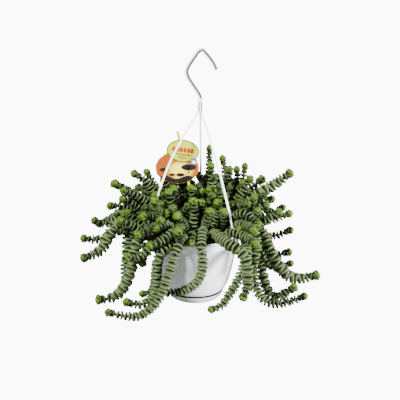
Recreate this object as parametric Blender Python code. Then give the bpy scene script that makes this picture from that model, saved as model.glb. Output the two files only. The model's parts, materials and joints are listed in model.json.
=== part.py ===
"""A trailing crassula in a white hanging pot, with its clip-on saucer, its moulded hanger and a label.

Lengths are in millimetres until a mesh is made. While the pieces are worked out, the pot's axis is
x = y = 0, its rim is z = 0, x runs to the right and y to the back. One empty then shifts everything,
so that the finished part's origin is the seat inside the hook's crown, where the part hangs.
"""

import itertools
import math
import random
from dataclasses import dataclass, field

import bmesh
import bpy
import numpy as np
from mathutils import Matrix, Vector

MM = 0.001
GAP = 0.3  # between pieces that touch
UP = np.array([0.0, 0.0, 1.0])
TO_FRONT = np.array([0.0, -1.0, 0.0])
TINY = 1e-6  # keeps a length that is divided by off zero

# The pot, its saucer and the soil, all turned about the pot's axis
SEGMENTS = 32
RIM_RADIUS = 73.0
RIM_EDGE = 0.9
LIP_HEIGHT = 2.8
COLLAR_RADIUS = 70.6
COLLAR_HEIGHT = 13.5
COLLAR_THICKNESS = 1.5
COLLAR_ROOT = 0.6  # how far above the shoulder the inside of the collar ends
WALL = 1.6
SHOULDER = (
    (66.8, -5.2), (65.8, -14.0), (61.0, -48.0), (54.2, -77.0), (48.6, -91.0), (45.3, -94.4), (39.8, -95.4),
)
FOOT_RADIUS = 37.0
FOOT_BOTTOM = -106.6
FOOT_RECESS = 3.0
FLOOR = -101.0
FLOOR_RADIUS = 36.5
HEEL = (38.1, -94.6)  # where the inside wall leaves the foot
BEND_LIFT = 1.0  # how far the wall's bends lie higher inside than outside
SAUCER_RIM = (44.9, -98.0)
SAUCER_LIP = (0.4, 2.2)  # the saucer's rolled edge, inwards and down
SAUCER_BASE = -108.7
SAUCER_BASE_RADIUS = 38.0
SAUCER_HEEL = (0.7, 0.6)
DRAIN_RADIUS = 2.6
DRAIN_CIRCLE = 22.0
DRAIN_SIDES = 6
DRAINS = 4
SOIL_TOP = -12.0
CUT_BEYOND = 1.0  # how far a cutter sticks out of what it cuts

# The six clip notches in the collar; every second one carries an arm of the hanger
CLIP_BEARING = -37.0
NOTCHES = 6
NOTCH_WIDTH = 11.0
NOTCH_HEIGHT = 7.0
NOTCH_EAVES = 1.4
NOTCH_SLOPE = 0.86  # how wide a notch still is at its eaves

# The hanger: a hook bent from one bar, and three straps with a wishbone clip each
HOOK_X = 8.0
HOOK_BAR = (5.0, 6.0)
HOOK_ROUTE = (
    (0.0, 205.3), (0.0, 206.0), (-0.6, 212.0), (-15.0, 233.5), (-19.2, 241.0), (-20.6, 248.0),
    (-18.4, 255.2), (-4.6, 275.4), (-2.2, 278.6), (1.0, 280.0), (4.4, 278.8), (16.6, 264.0),
    (20.4, 257.6), (23.2, 250.6),
)
HOOK_CROWN = 9  # the route's highest point
HOOK_FACE = np.array([0.31, 0.0, 0.95])
HOOK_SEAT = (HOOK_X + HOOK_ROUTE[HOOK_CROWN][0], 0.0, HOOK_ROUTE[HOOK_CROWN][1] - HOOK_BAR[1] / 2)
NECK_TOP = 205.0
NECK_BOTTOM = 192.0  # where the neck's block ends, a little above the arms' parting
NECK_FOOT = 188.0
NECK_OFFSET = 1.65
STRAP = (3.2, 2.2)
STRAP_RISE = 0.3  # how far a bowed strap rises for each millimetre that it bows outwards
STRAP_POINTS = 4
FORK_HEIGHT = 16.0
FORK_INSET = 1.0
FORK_HALF = 0.4
LEG_WIDTH = 2.88
LEG_SPREAD = 8.0
LEG_SHOULDER = 4.0  # how far above and below the rim a leg bends
LEG_SHOULDER_SHARE = 0.8
LEG_LEAN = 0.2
TOE_REACH = 5.8
SHARPEST_BEND = 0.6  # a bar is thickened in its bends as if none were sharper than this cosine

# The label: a die-cut card of two ovals, on a slanting stick
CARD_THICKNESS = 0.9
CARD_Y = 8.0
CARD_SEGMENTS = 28
CARD_OVERLAP = 8.0  # how far below the disc's top both ovals are full
STICK = (4.2, 1.4)
STICK_SINK = 0.3
STICK_TOP = (-26.5, 155.0)
STICK_FOOT = (13.0, -40.0)

# The view in which the stems were sighted: where the eye is, and its scale
EYE_DISTANCE = 1500.0
EYE_TILT = math.radians(18.5)
EYE_TARGET = (7.7, 48.0)
EYE_CENTRE = 200.0
EYE_SCALE = 974.0

# The crassula's growth
STEP = 6.0  # between the points of a stem's line
CURVE_DETAIL = 16
BARE = 6.0
LEAF_RADIUS = 8.2
BUD_RADIUS = 6.5
BUD_GIRTH = 0.8  # how strongly a bud's size follows its stem's girth
BASE_RADIUS = 2.6
FILL_OUT = 42.0
TAPER = 38.0
ROOT_RADIUS = 2.2
ROOT_SIDES = 3
ROOT_DEPTH = 14.0
ROOT_CIRCLE = 57.0
ROOT_CLEARANCE = 0.7
ROOT_FROM_STICK = 6.5
ROOTS_INWARD = {"reach": 0.62, "spill": 0.62, "dip": 0.62, "fill": 0.62, "rise": 0.5, "peek": 0.5}
OVER_RIM = (68.0, 13.0)  # how far out and how high a stem rises before it hangs over the rim
COLLAR_OF_ROOT = 0.8  # how far the straight root stands up out of the soil
BARE_RING = 11.0
SHOOT_RING = 13.0
FIRST_PAIR = 22.0
PAIR_PITCH = 11.0
PAIR_PEAK = 0.72  # where in its pitch a pair of leaves is widest
LAST_PAIR = 0.7  # how much of the last pair's pitch the line still has
LEAF_SHORT = 0.72
CORE_SHARE = 0.42
BUD_POINT = 2.0
ROOT_TURN = 90.0  # the bearing of a root's first corner, in degrees
MOST_CROWNS = 54
MOST_SHOOTS = 2
SHOOT_PENALTY = 6.0  # how much farther a crown seems for each shoot that it has already
FORK_REACH = 22.0  # shoots of one root may touch while their lengths so far add up to less
LEAF_DARK = (0.17, 0.30, 0.15)
LEAF_LIGHT = (0.23, 0.38, 0.10)

# How the stems are settled among each other and around the rest
ROUNDS = 380
FREE_ROUNDS = 150
SEARCH_EVERY = 6
SEARCH_MARGIN = 8.0
SLACK = 1.0
SHOVE = 0.45
LONGEST_SHOVE = 2.5
STIFFNESS = 0.5
PULL_ACROSS = 0.06
PULL_ALONG = 0.006
FAR_SIDE_HOLD = 0.35
DECIMALS = 4
OBSTACLE = 2.6  # half the thickness that stems keep clear of along the pot's outline
POT_CLEARANCE = 1.0
HANGER_CLEARANCE = 3.0
STICK_CLEARANCE = 3.0
CARD_CLEARANCE = 1.2
CROWD_ROOM = 1.6
LEAST_SHARE = 0.2

# Stems that were sighted one by one: how thick each is, and the column, row and depth behind the pot's
# axis of places along it, from the rim out to the bud
SIGHTED = {
    "reach_left_1": (0.88, [(160, 203, 8), (151, 188, 4), (143, 179, 0), (135, 174, -2)]),
    "reach_left_2": (0.78, [(163, 199, 30), (153, 183, 33), (147, 172.5, 34)]),
    "reach_left_3": (1.0, [(150, 214, 2), (135, 200, -2), (123, 190, -5), (114.5, 183.5, -8)]),
    "reach_left_4": (0.9, [(153, 212, -16), (140, 201, -20), (131, 194, -23), (124, 191, -25)]),
    "reach_left_5": (0.95, [(149, 216, -8), (137, 206, -20), (125, 198.5, -26)]),
    "reach_left_6": (0.88, [(142, 219, 17), (127, 211, 14), (118, 207, 12), (110, 206, 10)]),
    "reach_left_7": (0.95, [
        (142, 216, 32), (126, 213, 32), (113, 221, 32), (104, 224, 32), (95.5, 221, 32),
    ]),
    "reach_left_8": (0.95, [
        (137, 226, 12), (121, 229, 10), (108, 236, 8), (97, 239.5, 6), (84.5, 238.5, 4),
    ]),
    "reach_left_9": (1.08, [
        (131, 222, -14), (118, 227, -18), (110, 237, -22), (104, 248, -26), (95, 254, -28),
        (85.5, 257.5, -30),
    ]),
    "spill_left_1": (1.05, [
        (140, 226, -8), (129.5, 237, -12), (128, 255, -20), (125.5, 268, -26), (125, 281, -30),
    ]),
    "spill_left_2": (1.05, [
        (150, 234, -52), (142, 245, -62), (137.5, 257, -66), (134, 268, -68), (128, 281, -70),
        (121, 292, -71), (111, 298, -72), (100.5, 299.5, -74),
    ]),
    "spill_left_3": (0.92, [
        (168, 240, -72), (159, 250, -84), (157, 264, -88), (157, 278, -91), (156, 290, -93),
        (151, 300, -94), (141, 305, -96), (128, 302.5, -98),
    ]),
    "spill_left_4": (0.86, [
        (178, 240, -76), (172.5, 249, -88), (169.5, 262, -93), (166, 275, -96), (162, 288, -98),
        (156, 300, -99), (147, 309, -99), (136, 315.5, -99), (122, 315, -99), (108.5, 312.5, -99),
    ]),
    "spill_left_5": (0.8, [
        (158, 244, -62), (155, 262, -72), (154, 280, -76), (151, 291, -78), (144.5, 293.5, -80),
    ]),
    "dip_left_1": (0.92, [(160, 243, -68), (148, 253, -82), (140, 258, -87), (132, 257.5, -90)]),
    "dip_left_2": (0.95, [(166, 238, -72), (157, 244, -88), (146.5, 246.5, -98)]),
    "spill_front_1": (0.84, [
        (203, 230, -58), (201.5, 239, -75), (201, 247, -87), (202.5, 258, -91), (202, 270, -92),
        (197.5, 281, -93), (189, 288, -94), (179, 292, -95), (168, 293, -96), (156.5, 293.5, -97),
    ]),
    "spill_front_2": (1.05, [
        (212, 234, -46), (221, 240, -68), (232, 247, -87), (242, 253.5, -94), (247, 264, -97),
        (248, 277, -98), (247.5, 288, -99), (243.5, 296.5, -100),
    ]),
    "spill_right_1": (0.88, [
        (243, 234, -30), (247, 248, -52), (243, 266, -72), (236, 283, -80), (228, 296, -83),
        (222, 305.5, -85), (213, 309, -87),
    ]),
    "spill_right_2": (0.98, [
        (240, 221, -18), (247, 231, -34), (251, 246, -44), (252, 262, -50), (253, 275, -52),
    ]),
    "spill_right_3": (0.98, [
        (251, 234, -14), (257, 252, -26), (262, 270, -34), (266, 285, -38), (274, 296, -42),
        (284, 292, -44), (293.5, 286.5, -46),
    ]),
    "spill_right_4": (0.9, [
        (250, 240, 6), (253, 262, -4), (255, 282, -12), (260, 295, -16), (271, 303, -20), (287, 302, -22),
        (303.5, 296.5, -24),
    ]),
    "spill_right_5": (1.1, [
        (251, 226, -6), (261, 238, -18), (268, 252, -34), (277, 266, -37), (287, 276, -39),
        (300, 279, -40), (315, 275.5, -40),
    ]),
    "reach_right_1": (1.12, [
        (240, 213, 2), (252, 200, 8), (264, 192, 13), (276, 184, 18), (288, 174.5, 22),
    ]),
    "reach_right_2": (1.0, [(240, 205, 26), (250, 192, 32), (261.5, 179.5, 38)]),
    "reach_right_3": (0.9, [(245, 213, 26), (258, 207, 34), (271, 199.5, 42)]),
    "reach_right_4": (1.0, [(242, 214, -12), (254, 210, -10), (269, 204.5, -8)]),
    "reach_right_5": (0.85, [(250, 223, 34), (266, 217, 42), (281, 208.5, 50)]),
    "reach_right_6": (0.92, [(248, 229, 14), (265, 225, 19), (283.5, 216, 24)]),
    "reach_right_7": (0.95, [(243, 222, -20), (256, 220, -18), (271.5, 216, -16)]),
    "reach_right_8": (0.85, [(251, 236, 6), (268, 238, 10), (284.5, 232.5, 14)]),
    "reach_right_9": (0.9, [(254, 240, 26), (270, 254, 30), (287, 252.5, 34)]),
    "reach_right_10": (0.85, [(254, 246, 2), (272, 266, 4), (288.5, 264, 8)]),
    "rise_1": (0.74, [(209, 196, 38), (209.5, 178, 43), (209.5, 163, 45), (209.5, 149.5, 46)]),
    "rise_2": (0.9, [(212, 198, 16), (212, 182, 18), (211, 167, 18)]),
    "rise_3": (0.74, [(225, 190, 38), (223.5, 174, 42), (222.8, 159.5, 44)]),
    "rise_4": (0.8, [(232, 197, 22), (231, 184, 25), (229.5, 171.5, 27)]),
    "rise_5": (0.78, [(237, 194, 42), (238, 182, 46), (237, 171.5, 48)]),
    "rise_6": (0.76, [(240, 194, 60), (243, 180, 68), (244.7, 167.7, 72)]),
    "rise_7": (0.85, [(241, 199, 8), (246, 189, 9), (249.5, 180, 10)]),
    "rise_8": (1.0, [(181, 212, 26), (182, 197, 28), (183, 183, 29)]),
    "rise_9": (0.95, [(192, 206, -8), (192, 197, -9), (191.5, 188.5, -10)]),
    "rise_10": (0.9, [(203, 206, 2), (203, 193, 0)]),
    "rise_11": (0.9, [(178, 203, -12), (174, 190, -14)]),
    "rise_12": (0.95, [(212, 204, -2), (210, 191.5, -4)]),
    "rise_13": (1.0, [(220, 206, -4), (219, 192, -7)]),
    "rise_14": (0.9, [(165, 209, 16), (158, 197, 16), (154, 191, 14)]),
    "peek_1": (0.95, [(192, 226, -34), (194, 215, -35), (193.5, 203, -37)]),
    "peek_2": (0.9, [(204, 214, -18), (201.5, 204, -24)]),
    "peek_3": (0.95, [(205, 225, -34), (207, 219, -42), (209, 213.5, -47)]),
    "peek_4": (0.95, [(224, 222, -30), (224.5, 211.5, -40)]),
    "peek_5": (0.9, [(219, 215, -18), (218, 204, -26)]),
    "peek_6": (0.95, [(173, 208, -20), (168.5, 193.5, -26)]),
    "peek_7": (0.9, [(164, 214, -24), (156, 202.5, -34)]),
    "peek_8": (0.95, [(186, 225, -38), (179.5, 218.5, -56)]),
    "peek_9": (0.9, [(174, 224, -40), (168, 218.5, -58)]),
    "peek_11": (0.95, [(165, 230, -50), (156, 229, -76)]),
    "peek_13": (0.9, [(190, 234, -56), (191, 240, -78)]),
    "peek_14": (0.95, [(157, 221, -44), (145.5, 216.5, -60)]),
    "peek_16": (0.9, [(143, 220, -14), (128.5, 216, -24)]),
    "peek_17": (0.9, [(142, 226, -64), (125.5, 222, -76)]),
    "peek_18": (0.95, [(152, 234, -60), (139, 234.5, -84)]),
    "peek_19": (0.95, [(247, 228, -50), (252.5, 232.5, -74)]),
    "peek_20": (0.9, [(247, 236, -64), (254.5, 243, -90)]),
    "fill_left_1": (0.95, [(152, 228, -34), (142, 235, -46), (136, 246, -52)]),
    "fill_left_2": (0.95, [(156, 236, -46), (149, 244, -60), (145, 254, -66)]),
    "fill_left_3": (0.9, [(150, 223, -26), (141, 224, -38), (134, 230, -44)]),
    "peek_21": (0.9, [(250, 225, -36), (259.5, 229, -58)]),
}

# Stems of the far side, which grow by rule: how many, between which bearings, root circle, rise, droop,
# curl at the bud, and length
SEED = 11
FAR_SIDE = (
    ("back_rise", 4, (30.0, 150.0), 22.0, 74.0, 28.0, 0.0, 90.0),
    ("back_reach", 5, (56.0, 152.0), 40.0, 60.0, 78.0, 14.0, 112.0),
    ("back_right_spill", 3, (44.0, 72.0), 50.0, 66.0, 150.0, 60.0, 172.0),
    ("back_left_spill", 5, (97.0, 148.0), 50.0, 66.0, 150.0, 60.0, 172.0),
)
SWAY = 20.0
DROOP_POWER = 0.9
CURL_START = 0.7


@dataclass
class Stem:
    """One leafy stem: its line from the root to the bud, and how thick its leaves make it."""

    name: str
    girth: float
    line: np.ndarray
    hold: float = 1.0
    crown: int = -1
    radii: np.ndarray = field(default_factory=lambda: np.zeros(0))

    def spacing(self):
        """The distance between two points of the line."""
        return np.linalg.norm(self.line[1] - self.line[0])

    def leaf_radii(self):
        """How far the leaves reach from the line: little at the root, full in the middle, less at the bud."""
        along = np.arange(len(self.line)) * self.spacing()
        full = LEAF_RADIUS * self.girth
        bud = min(full, BUD_RADIUS * self.girth**BUD_GIRTH)
        grow = np.clip((along - BARE) / FILL_OUT, 0, 1)
        fade = np.clip((along[-1] - along) / TAPER, 0, 1)
        return np.minimum(BASE_RADIUS + (full - BASE_RADIUS) * grow**0.7, bud + (full - bud) * fade**0.7)


@dataclass(frozen=True)
class Oval:
    """An upright oval of the label: its middle, its two half sizes and its turn in degrees."""

    x: float
    z: float
    half_x: float
    half_z: float
    tilt: float = 0.0

    def into(self, x, z):
        """A vector in the frame in which the oval is a circle of radius 1."""
        turn = math.radians(-self.tilt)
        across = x * math.cos(turn) - z * math.sin(turn)
        above = x * math.sin(turn) + z * math.cos(turn)
        return np.array([across / self.half_x, above / self.half_z])

    def reach(self, x, z, angle):
        """How far the oval reaches from a point inside it, at this angle."""
        start = self.into(x - self.x, z - self.z)
        ray = self.into(math.cos(angle), math.sin(angle))
        a, b, c = ray.dot(ray), start.dot(ray), start.dot(start) - 1
        return (-b + math.sqrt(max(0.0, b * b - a * c))) / a

    def box(self):
        """The two corners of the box that the oval stands in, at the card's place."""
        low = np.array([self.x - self.half_x, CARD_Y, self.z - self.half_z])
        high = np.array([self.x + self.half_x, CARD_Y, self.z + self.half_z])
        return low, high


DISC = Oval(-27.3, 97.4, 33.6, 25.4)
NAME_PLATE = Oval(-18.3, 124.0, 25.2, 18.1, -8.0)


@dataclass(frozen=True)
class Arm:
    """One arm of the hanger: its bearing, and how far it bows outwards."""

    bearing: float
    bow: float

    def fork(self):
        """Where the clip's two legs part."""
        return polar(self.bearing, RIM_RADIUS - FORK_INSET, FORK_HEIGHT)

    def line(self):
        """The arm's line, from the neck down to where its clip forks."""
        neck = np.array([HOOK_X, 0.0, 0.0]) + polar(self.bearing, NECK_OFFSET)
        top = neck + UP * NECK_FOOT
        points = [neck + UP * NECK_TOP, top]
        for share in np.linspace(0, 1, STRAP_POINTS + 1)[1:]:
            swing = self.bow * math.sin(math.pi * share)
            points.append(top + (self.fork() - top) * share + polar(self.bearing, swing, STRAP_RISE * swing))
        return points

    def leg(self, hand):
        """One leg of the clip: from the fork, over the rim's outside, to the toe under the collar."""
        across = polar(self.bearing + 90.0, 1.0) * hand
        stand = RIM_RADIUS + GAP + STRAP[1] / 2
        low = -COLLAR_HEIGHT - GAP - STRAP[1] / 2
        return [
            self.fork() + across * FORK_HALF,
            polar(self.bearing, stand, LEG_SHOULDER) + across * LEG_SPREAD * LEG_SHOULDER_SHARE,
            polar(self.bearing, stand, -LEG_SHOULDER) + across * LEG_SPREAD,
            polar(self.bearing, stand, low) + across * LEG_SPREAD,
            polar(self.bearing, stand - TOE_REACH, low) + across * LEG_SPREAD,
        ]

    def legs(self):
        """Both legs of the clip."""
        return [self.leg(-1), self.leg(1)]


ARMS = (Arm(CLIP_BEARING, 3.0), Arm(CLIP_BEARING - 120.0, 12.0), Arm(CLIP_BEARING + 120.0, 2.0))


def seen_point(column, row, depth):
    """The point that appears at this column and row of the sighting view, at this depth behind the axis."""
    tangent = (EYE_CENTRE - row) / EYE_SCALE
    sine, cosine = math.sin(EYE_TILT), math.cos(EYE_TILT)
    above = (tangent * (EYE_DISTANCE + depth * cosine) - depth * sine) / (cosine + tangent * sine)
    away = EYE_DISTANCE + depth * cosine - above * sine
    across = EYE_TARGET[0] + (column - EYE_CENTRE) / EYE_SCALE * away
    return np.array([across, depth, EYE_TARGET[1] + above])


def polar(bearing, radius, z=0.0):
    """A point at a bearing in degrees, counted from the right and anticlockwise from above."""
    angle = math.radians(bearing)
    return np.array([radius * math.cos(angle), radius * math.sin(angle), z])


def curve_point(a, b, c, d, t):
    """The point a share t of the way from b to c, on the Catmull-Rom curve through all four."""
    lean = (c - a) * t
    bow = (2 * a - 5 * b + 4 * c - d) * t**2
    swing = (3 * b - a - 3 * c + d) * t**3
    return 0.5 * (2 * b + lean + bow + swing)


def smooth_line(points, step):
    """A Catmull-Rom curve through the points, read off at even steps of about this length."""
    points = np.array(points, float)
    padded = np.vstack([2 * points[0] - points[1], points, 2 * points[-1] - points[-2]])
    fine = []
    for a, b, c, d in zip(padded, padded[1:], padded[2:], padded[3:]):
        fine += [curve_point(a, b, c, d, t) for t in np.linspace(0, 1, CURVE_DETAIL, endpoint=False)]
    fine = np.vstack([fine, points[-1]])
    reach = np.concatenate([[0], np.cumsum(np.linalg.norm(np.diff(fine, axis=0), axis=1))])
    marks = np.linspace(0, reach[-1], max(4, round(reach[-1] / step) + 1))
    return np.stack([np.interp(marks, reach, fine[:, k]) for k in range(3)], axis=1)


def sighted_stems():
    """The stems of the near side, each rooted in the soil below its first sighting."""
    stems = []
    for name, (girth, sightings) in SIGHTED.items():
        route = [seen_point(*sighting) for sighting in sightings]
        root = route[0] * ROOTS_INWARD[name.split("_")[0]]
        shrink = min(1.0, ROOT_CIRCLE / max(1.0, math.hypot(root[0], root[1])))
        first_reach = math.hypot(route[0][0], route[0][1])
        if first_reach > OVER_RIM[0] and route[0][2] < 2 * OVER_RIM[1]:
            over = route[0] * (OVER_RIM[0] / first_reach)
            route.insert(0, np.array([over[0], over[1], OVER_RIM[1]]))
        route.insert(0, np.array([root[0] * shrink, root[1] * shrink, SOIL_TOP]))
        stems.append(Stem(name, girth, smooth_line(route, STEP)))
    return stems


def far_side_stems():
    """The far side's stems: each starts at its rise and bends over as it grows, and its bud turns up."""
    draw = random.Random(SEED)
    stems = []
    for kind, count, (first, last), circle, rise, droop, curl, length in FAR_SIDE:
        for k in range(count):
            bearing = first + (last - first) * (k + 0.5 + draw.uniform(-0.25, 0.25)) / count
            sway = draw.uniform(-SWAY, SWAY)
            steps = round(length * draw.uniform(0.82, 1.12) / STEP)
            point = polar(bearing, circle * draw.uniform(0.85, 1.05), SOIL_TOP)
            line = [point]
            for along in (np.arange(steps) + 0.5) / steps:
                turned_up = curl * max(0.0, along - CURL_START) / (1 - CURL_START)
                climb = math.radians(rise - droop * along**DROOP_POWER + turned_up)
                point = point + STEP * polar(bearing + sway * along, math.cos(climb), math.sin(climb))
                line.append(point)
            name = f"{kind}_{k + 1}"
            stems.append(Stem(name, draw.uniform(0.85, 1.05), np.array(line), FAR_SIDE_HOLD))
    return stems


def share_crowns(stems):
    """Gives each stem its crown: the shortest stems are side shoots of the nearest crown with room."""
    order = sorted(range(len(stems)), key=lambda i: -len(stems[i].line))
    leaders = order[:MOST_CROWNS]
    for number, i in enumerate(sorted(leaders)):
        stems[i].crown = number
    shoots = {stems[i].crown: 0 for i in leaders}
    for i in order[MOST_CROWNS:]:

        def farness(k):
            away = np.linalg.norm(stems[k].line[0] - stems[i].line[0])
            return away + SHOOT_PENALTY * shoots[stems[k].crown]

        nearest = min((k for k in leaders if shoots[stems[k].crown] < MOST_SHOOTS), key=farness)
        stems[i].crown = stems[nearest].crown
        shoots[stems[i].crown] += 1


def closest_on_segments(points, starts, ends):
    """For each point, the nearest point of the nearest segment."""
    span = ends - starts
    t = np.einsum("psk,sk->ps", points[:, None] - starts[None], span) / (span**2).sum(1)
    near = starts[None] + np.clip(t, 0, 1)[..., None] * span[None]
    best = np.linalg.norm(points[:, None] - near, axis=2).argmin(1)
    return near[np.arange(len(points)), best]


def pushed_off(points, nearest, clearance):
    """The points, moved away from their nearest obstacle point to at least the clearance."""
    away = points - nearest
    distance = np.maximum(np.linalg.norm(away, axis=1), TINY)
    return points + away / distance[:, None] * np.maximum(clearance - distance, 0)[:, None]


def pot_outline():
    """The outline that stems keep clear of: soil, wall and saucer, a little inside their faces."""
    soil, base = SOIL_TOP - OBSTACLE, SAUCER_BASE + OBSTACLE
    outline = [(0.0, soil), (SHOULDER[1][0], soil), (RIM_RADIUS - OBSTACLE, -OBSTACLE)]
    outline.append((COLLAR_RADIUS - OBSTACLE, -COLLAR_HEIGHT))
    outline += [(radius - OBSTACLE, z) for radius, z in SHOULDER[1:5] + (SAUCER_RIM,)]
    return outline + [(SAUCER_BASE_RADIUS, base), (0.0, base)]


def buried_stick():
    """The two ends, seen from above, of the part of the stick that lies as deep as the roots."""
    top, foot = stick_route()
    ends = []
    for z in (SOIL_TOP, SOIL_TOP - ROOT_DEPTH):
        place = top + (foot - top) * (top[2] - z) / (top[2] - foot[2])
        ends.append(np.array([place[0], place[1], SOIL_TOP]))
    return ends


def keep_out(points, radii, along):
    """Moves stem points clear of the pot, the hanger and the label."""
    walls = np.array([(radius, 0.0, z) for radius, z in pot_outline()])
    flat = np.stack([np.hypot(points[:, 0], points[:, 1]), np.zeros(len(points)), points[:, 2]], axis=1)
    nearest = closest_on_segments(flat, walls[:-1], walls[1:])
    moved = pushed_off(flat, nearest, np.where(along > 0, radii + OBSTACLE + POT_CLEARANCE, 0.0))
    scale = moved[:, 0] / np.maximum(flat[:, 0], TINY)
    points = np.stack([points[:, 0] * scale, points[:, 1] * scale, moved[:, 2]], axis=1)

    lines = [arm.line() for arm in ARMS] + [leg for arm in ARMS for leg in arm.legs()]
    starts = np.array([point for line in lines for point in line[:-1]])
    ends = np.array([point for line in lines for point in line[1:]])
    points = pushed_off(points, closest_on_segments(points, starts, ends), radii + HANGER_CLEARANCE)

    top, foot = stick_route()
    nearest = closest_on_segments(points, top[None], foot[None])
    points = pushed_off(points, nearest, radii + STICK_CLEARANCE)
    for oval in (DISC, NAME_PLATE):
        points = pushed_off(points, np.clip(points, *oval.box()), radii + CARD_CLEARANCE)
    return points


class Settling:
    """Bends the stems clear of each other and of the pot, and keeps their lengths and how they curve.

    Each round pushes close points apart, holds the roots in the soil and pulls the lines back towards
    where they were drawn, most of all across the sighting view. The last rounds pull no more.
    """

    def __init__(self, stems):
        """Puts the points of all stems in one list."""
        self.stems = stems
        self.count = [len(stem.line) for stem in stems]
        self.first = np.concatenate([[0], np.cumsum(self.count)[:-1]])
        self.drawn = np.vstack([stem.line for stem in stems])
        self.points = self.drawn.copy()
        self.owner = np.repeat(np.arange(len(stems)), self.count)
        self.crown = np.repeat([stem.crown for stem in stems], self.count)
        self.radii = np.concatenate([stem.leaf_radii() for stem in stems])
        self.hold = np.repeat([stem.hold for stem in stems], self.count)[:, None]
        self.spacing = np.repeat([stem.spacing() for stem in stems], self.count)
        rank = np.concatenate([np.arange(n) for n in self.count])
        self.along = rank * self.spacing
        goes_on = np.append(rank[1:], 0) > 0
        self.links = np.flatnonzero(goes_on)
        self.inner = np.flatnonzero(goes_on & (rank > 0))
        self.drawn_bend = self.bend(self.drawn)

    def bend(self, points):
        """How far each inner point lies off the middle between its two neighbours."""
        return points[self.inner] - (points[self.inner - 1] + points[self.inner + 1]) / 2

    def mates(self):
        """Which pairs of points belong to one stem, or to two that part close to a shared root."""
        same_crown = self.crown[:, None] == self.crown[None]
        near_root = self.along[:, None] + self.along[None] < FORK_REACH
        return (self.owner[:, None] == self.owner[None]) | (same_crown & near_root)

    def close_pairs(self):
        """The pairs of points of different stems that touch or may do so soon."""
        distance = np.linalg.norm(self.points[:, None] - self.points[None], axis=2)
        near = distance < self.radii[:, None] + self.radii[None] + SEARCH_MARGIN
        return np.nonzero(np.triu(near & ~self.mates(), 1))

    def part(self, pairs):
        """Pushes the points of the pairs apart, as far as their leaves need."""
        one, other = pairs
        away = self.points[one] - self.points[other]
        distance = np.maximum(np.linalg.norm(away, axis=1), TINY)
        lack = np.maximum(self.radii[one] + self.radii[other] + GAP + SLACK - distance, 0)
        shove = away / distance[:, None] * (SHOVE * lack)[:, None]
        moved = np.zeros_like(self.points)
        np.add.at(moved, one, shove)
        np.add.at(moved, other, -shove)
        size = np.maximum(np.linalg.norm(moved, axis=1), TINY)
        self.points = self.points + moved * np.minimum(1.0, LONGEST_SHOVE / size)[:, None]

    def straighten(self):
        """Brings the curves back to their drawn bends and the spans back to their lengths."""
        self.points[self.inner] -= STIFFNESS * (self.bend(self.points) - self.drawn_bend)
        span = self.points[self.links + 1] - self.points[self.links]
        length = np.maximum(np.linalg.norm(span, axis=1), TINY)
        fix = span * (0.5 * (length - self.spacing[self.links]) / length)[:, None]
        self.points[self.links] += fix
        self.points[self.links + 1] -= fix

    def pull_back(self):
        """Pulls the lines towards where they were drawn, less along the sight than across it."""
        sight = np.array([0.0, math.cos(EYE_TILT), -math.sin(EYE_TILT)])
        pull = self.drawn - self.points
        deep = (pull @ sight)[:, None] * sight
        self.points = self.points + self.hold * (PULL_ACROSS * (pull - deep) + PULL_ALONG * deep)

    def hold_roots(self):
        """Keeps the roots of each crown together, on the soil and inside the root circle."""
        for crown in range(MOST_CROWNS):
            firsts = self.first[[stem.crown == crown for stem in self.stems]]
            self.points[firsts] = self.points[firsts].mean(axis=0)
        ring = np.hypot(self.points[self.first, 0], self.points[self.first, 1])
        self.points[self.first, :2] *= np.minimum(1.0, ROOT_CIRCLE / np.maximum(ring, TINY))[:, None]
        self.points[self.first, 2] = SOIL_TOP
        roots = self.points[self.first]
        one, other = buried_stick()
        nearest = closest_on_segments(roots, one[None], other[None])
        self.points[self.first] = pushed_off(roots, nearest, ROOT_FROM_STICK)

    def crowd(self):
        """Makes the leaves smaller where two stems still come closer than their leaves reach."""
        distance = np.linalg.norm(self.points[:, None] - self.points[None], axis=2)
        distance[self.mates()] = np.inf
        share = (distance - CROWD_ROOM) / (self.radii[:, None] + self.radii[None])
        self.radii = self.radii * np.clip(share.min(axis=1), LEAST_SHARE, 1.0)

    def run(self):
        """Settles the stems, and gives each its line and its leaves' reach."""
        for turn in range(ROUNDS):
            if turn % SEARCH_EVERY == 0:
                pairs = self.close_pairs()
            self.part(pairs)
            self.straighten()
            if turn < ROUNDS - FREE_ROUNDS:
                self.pull_back()
            self.points = keep_out(self.points, self.radii, self.along)
            self.hold_roots()
            self.points = np.round(self.points, DECIMALS)
        self.crowd()
        for stem, start, n in zip(self.stems, self.first, self.count):
            stem.line = self.points[start : start + n]
            stem.radii = self.radii[start : start + n]


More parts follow.
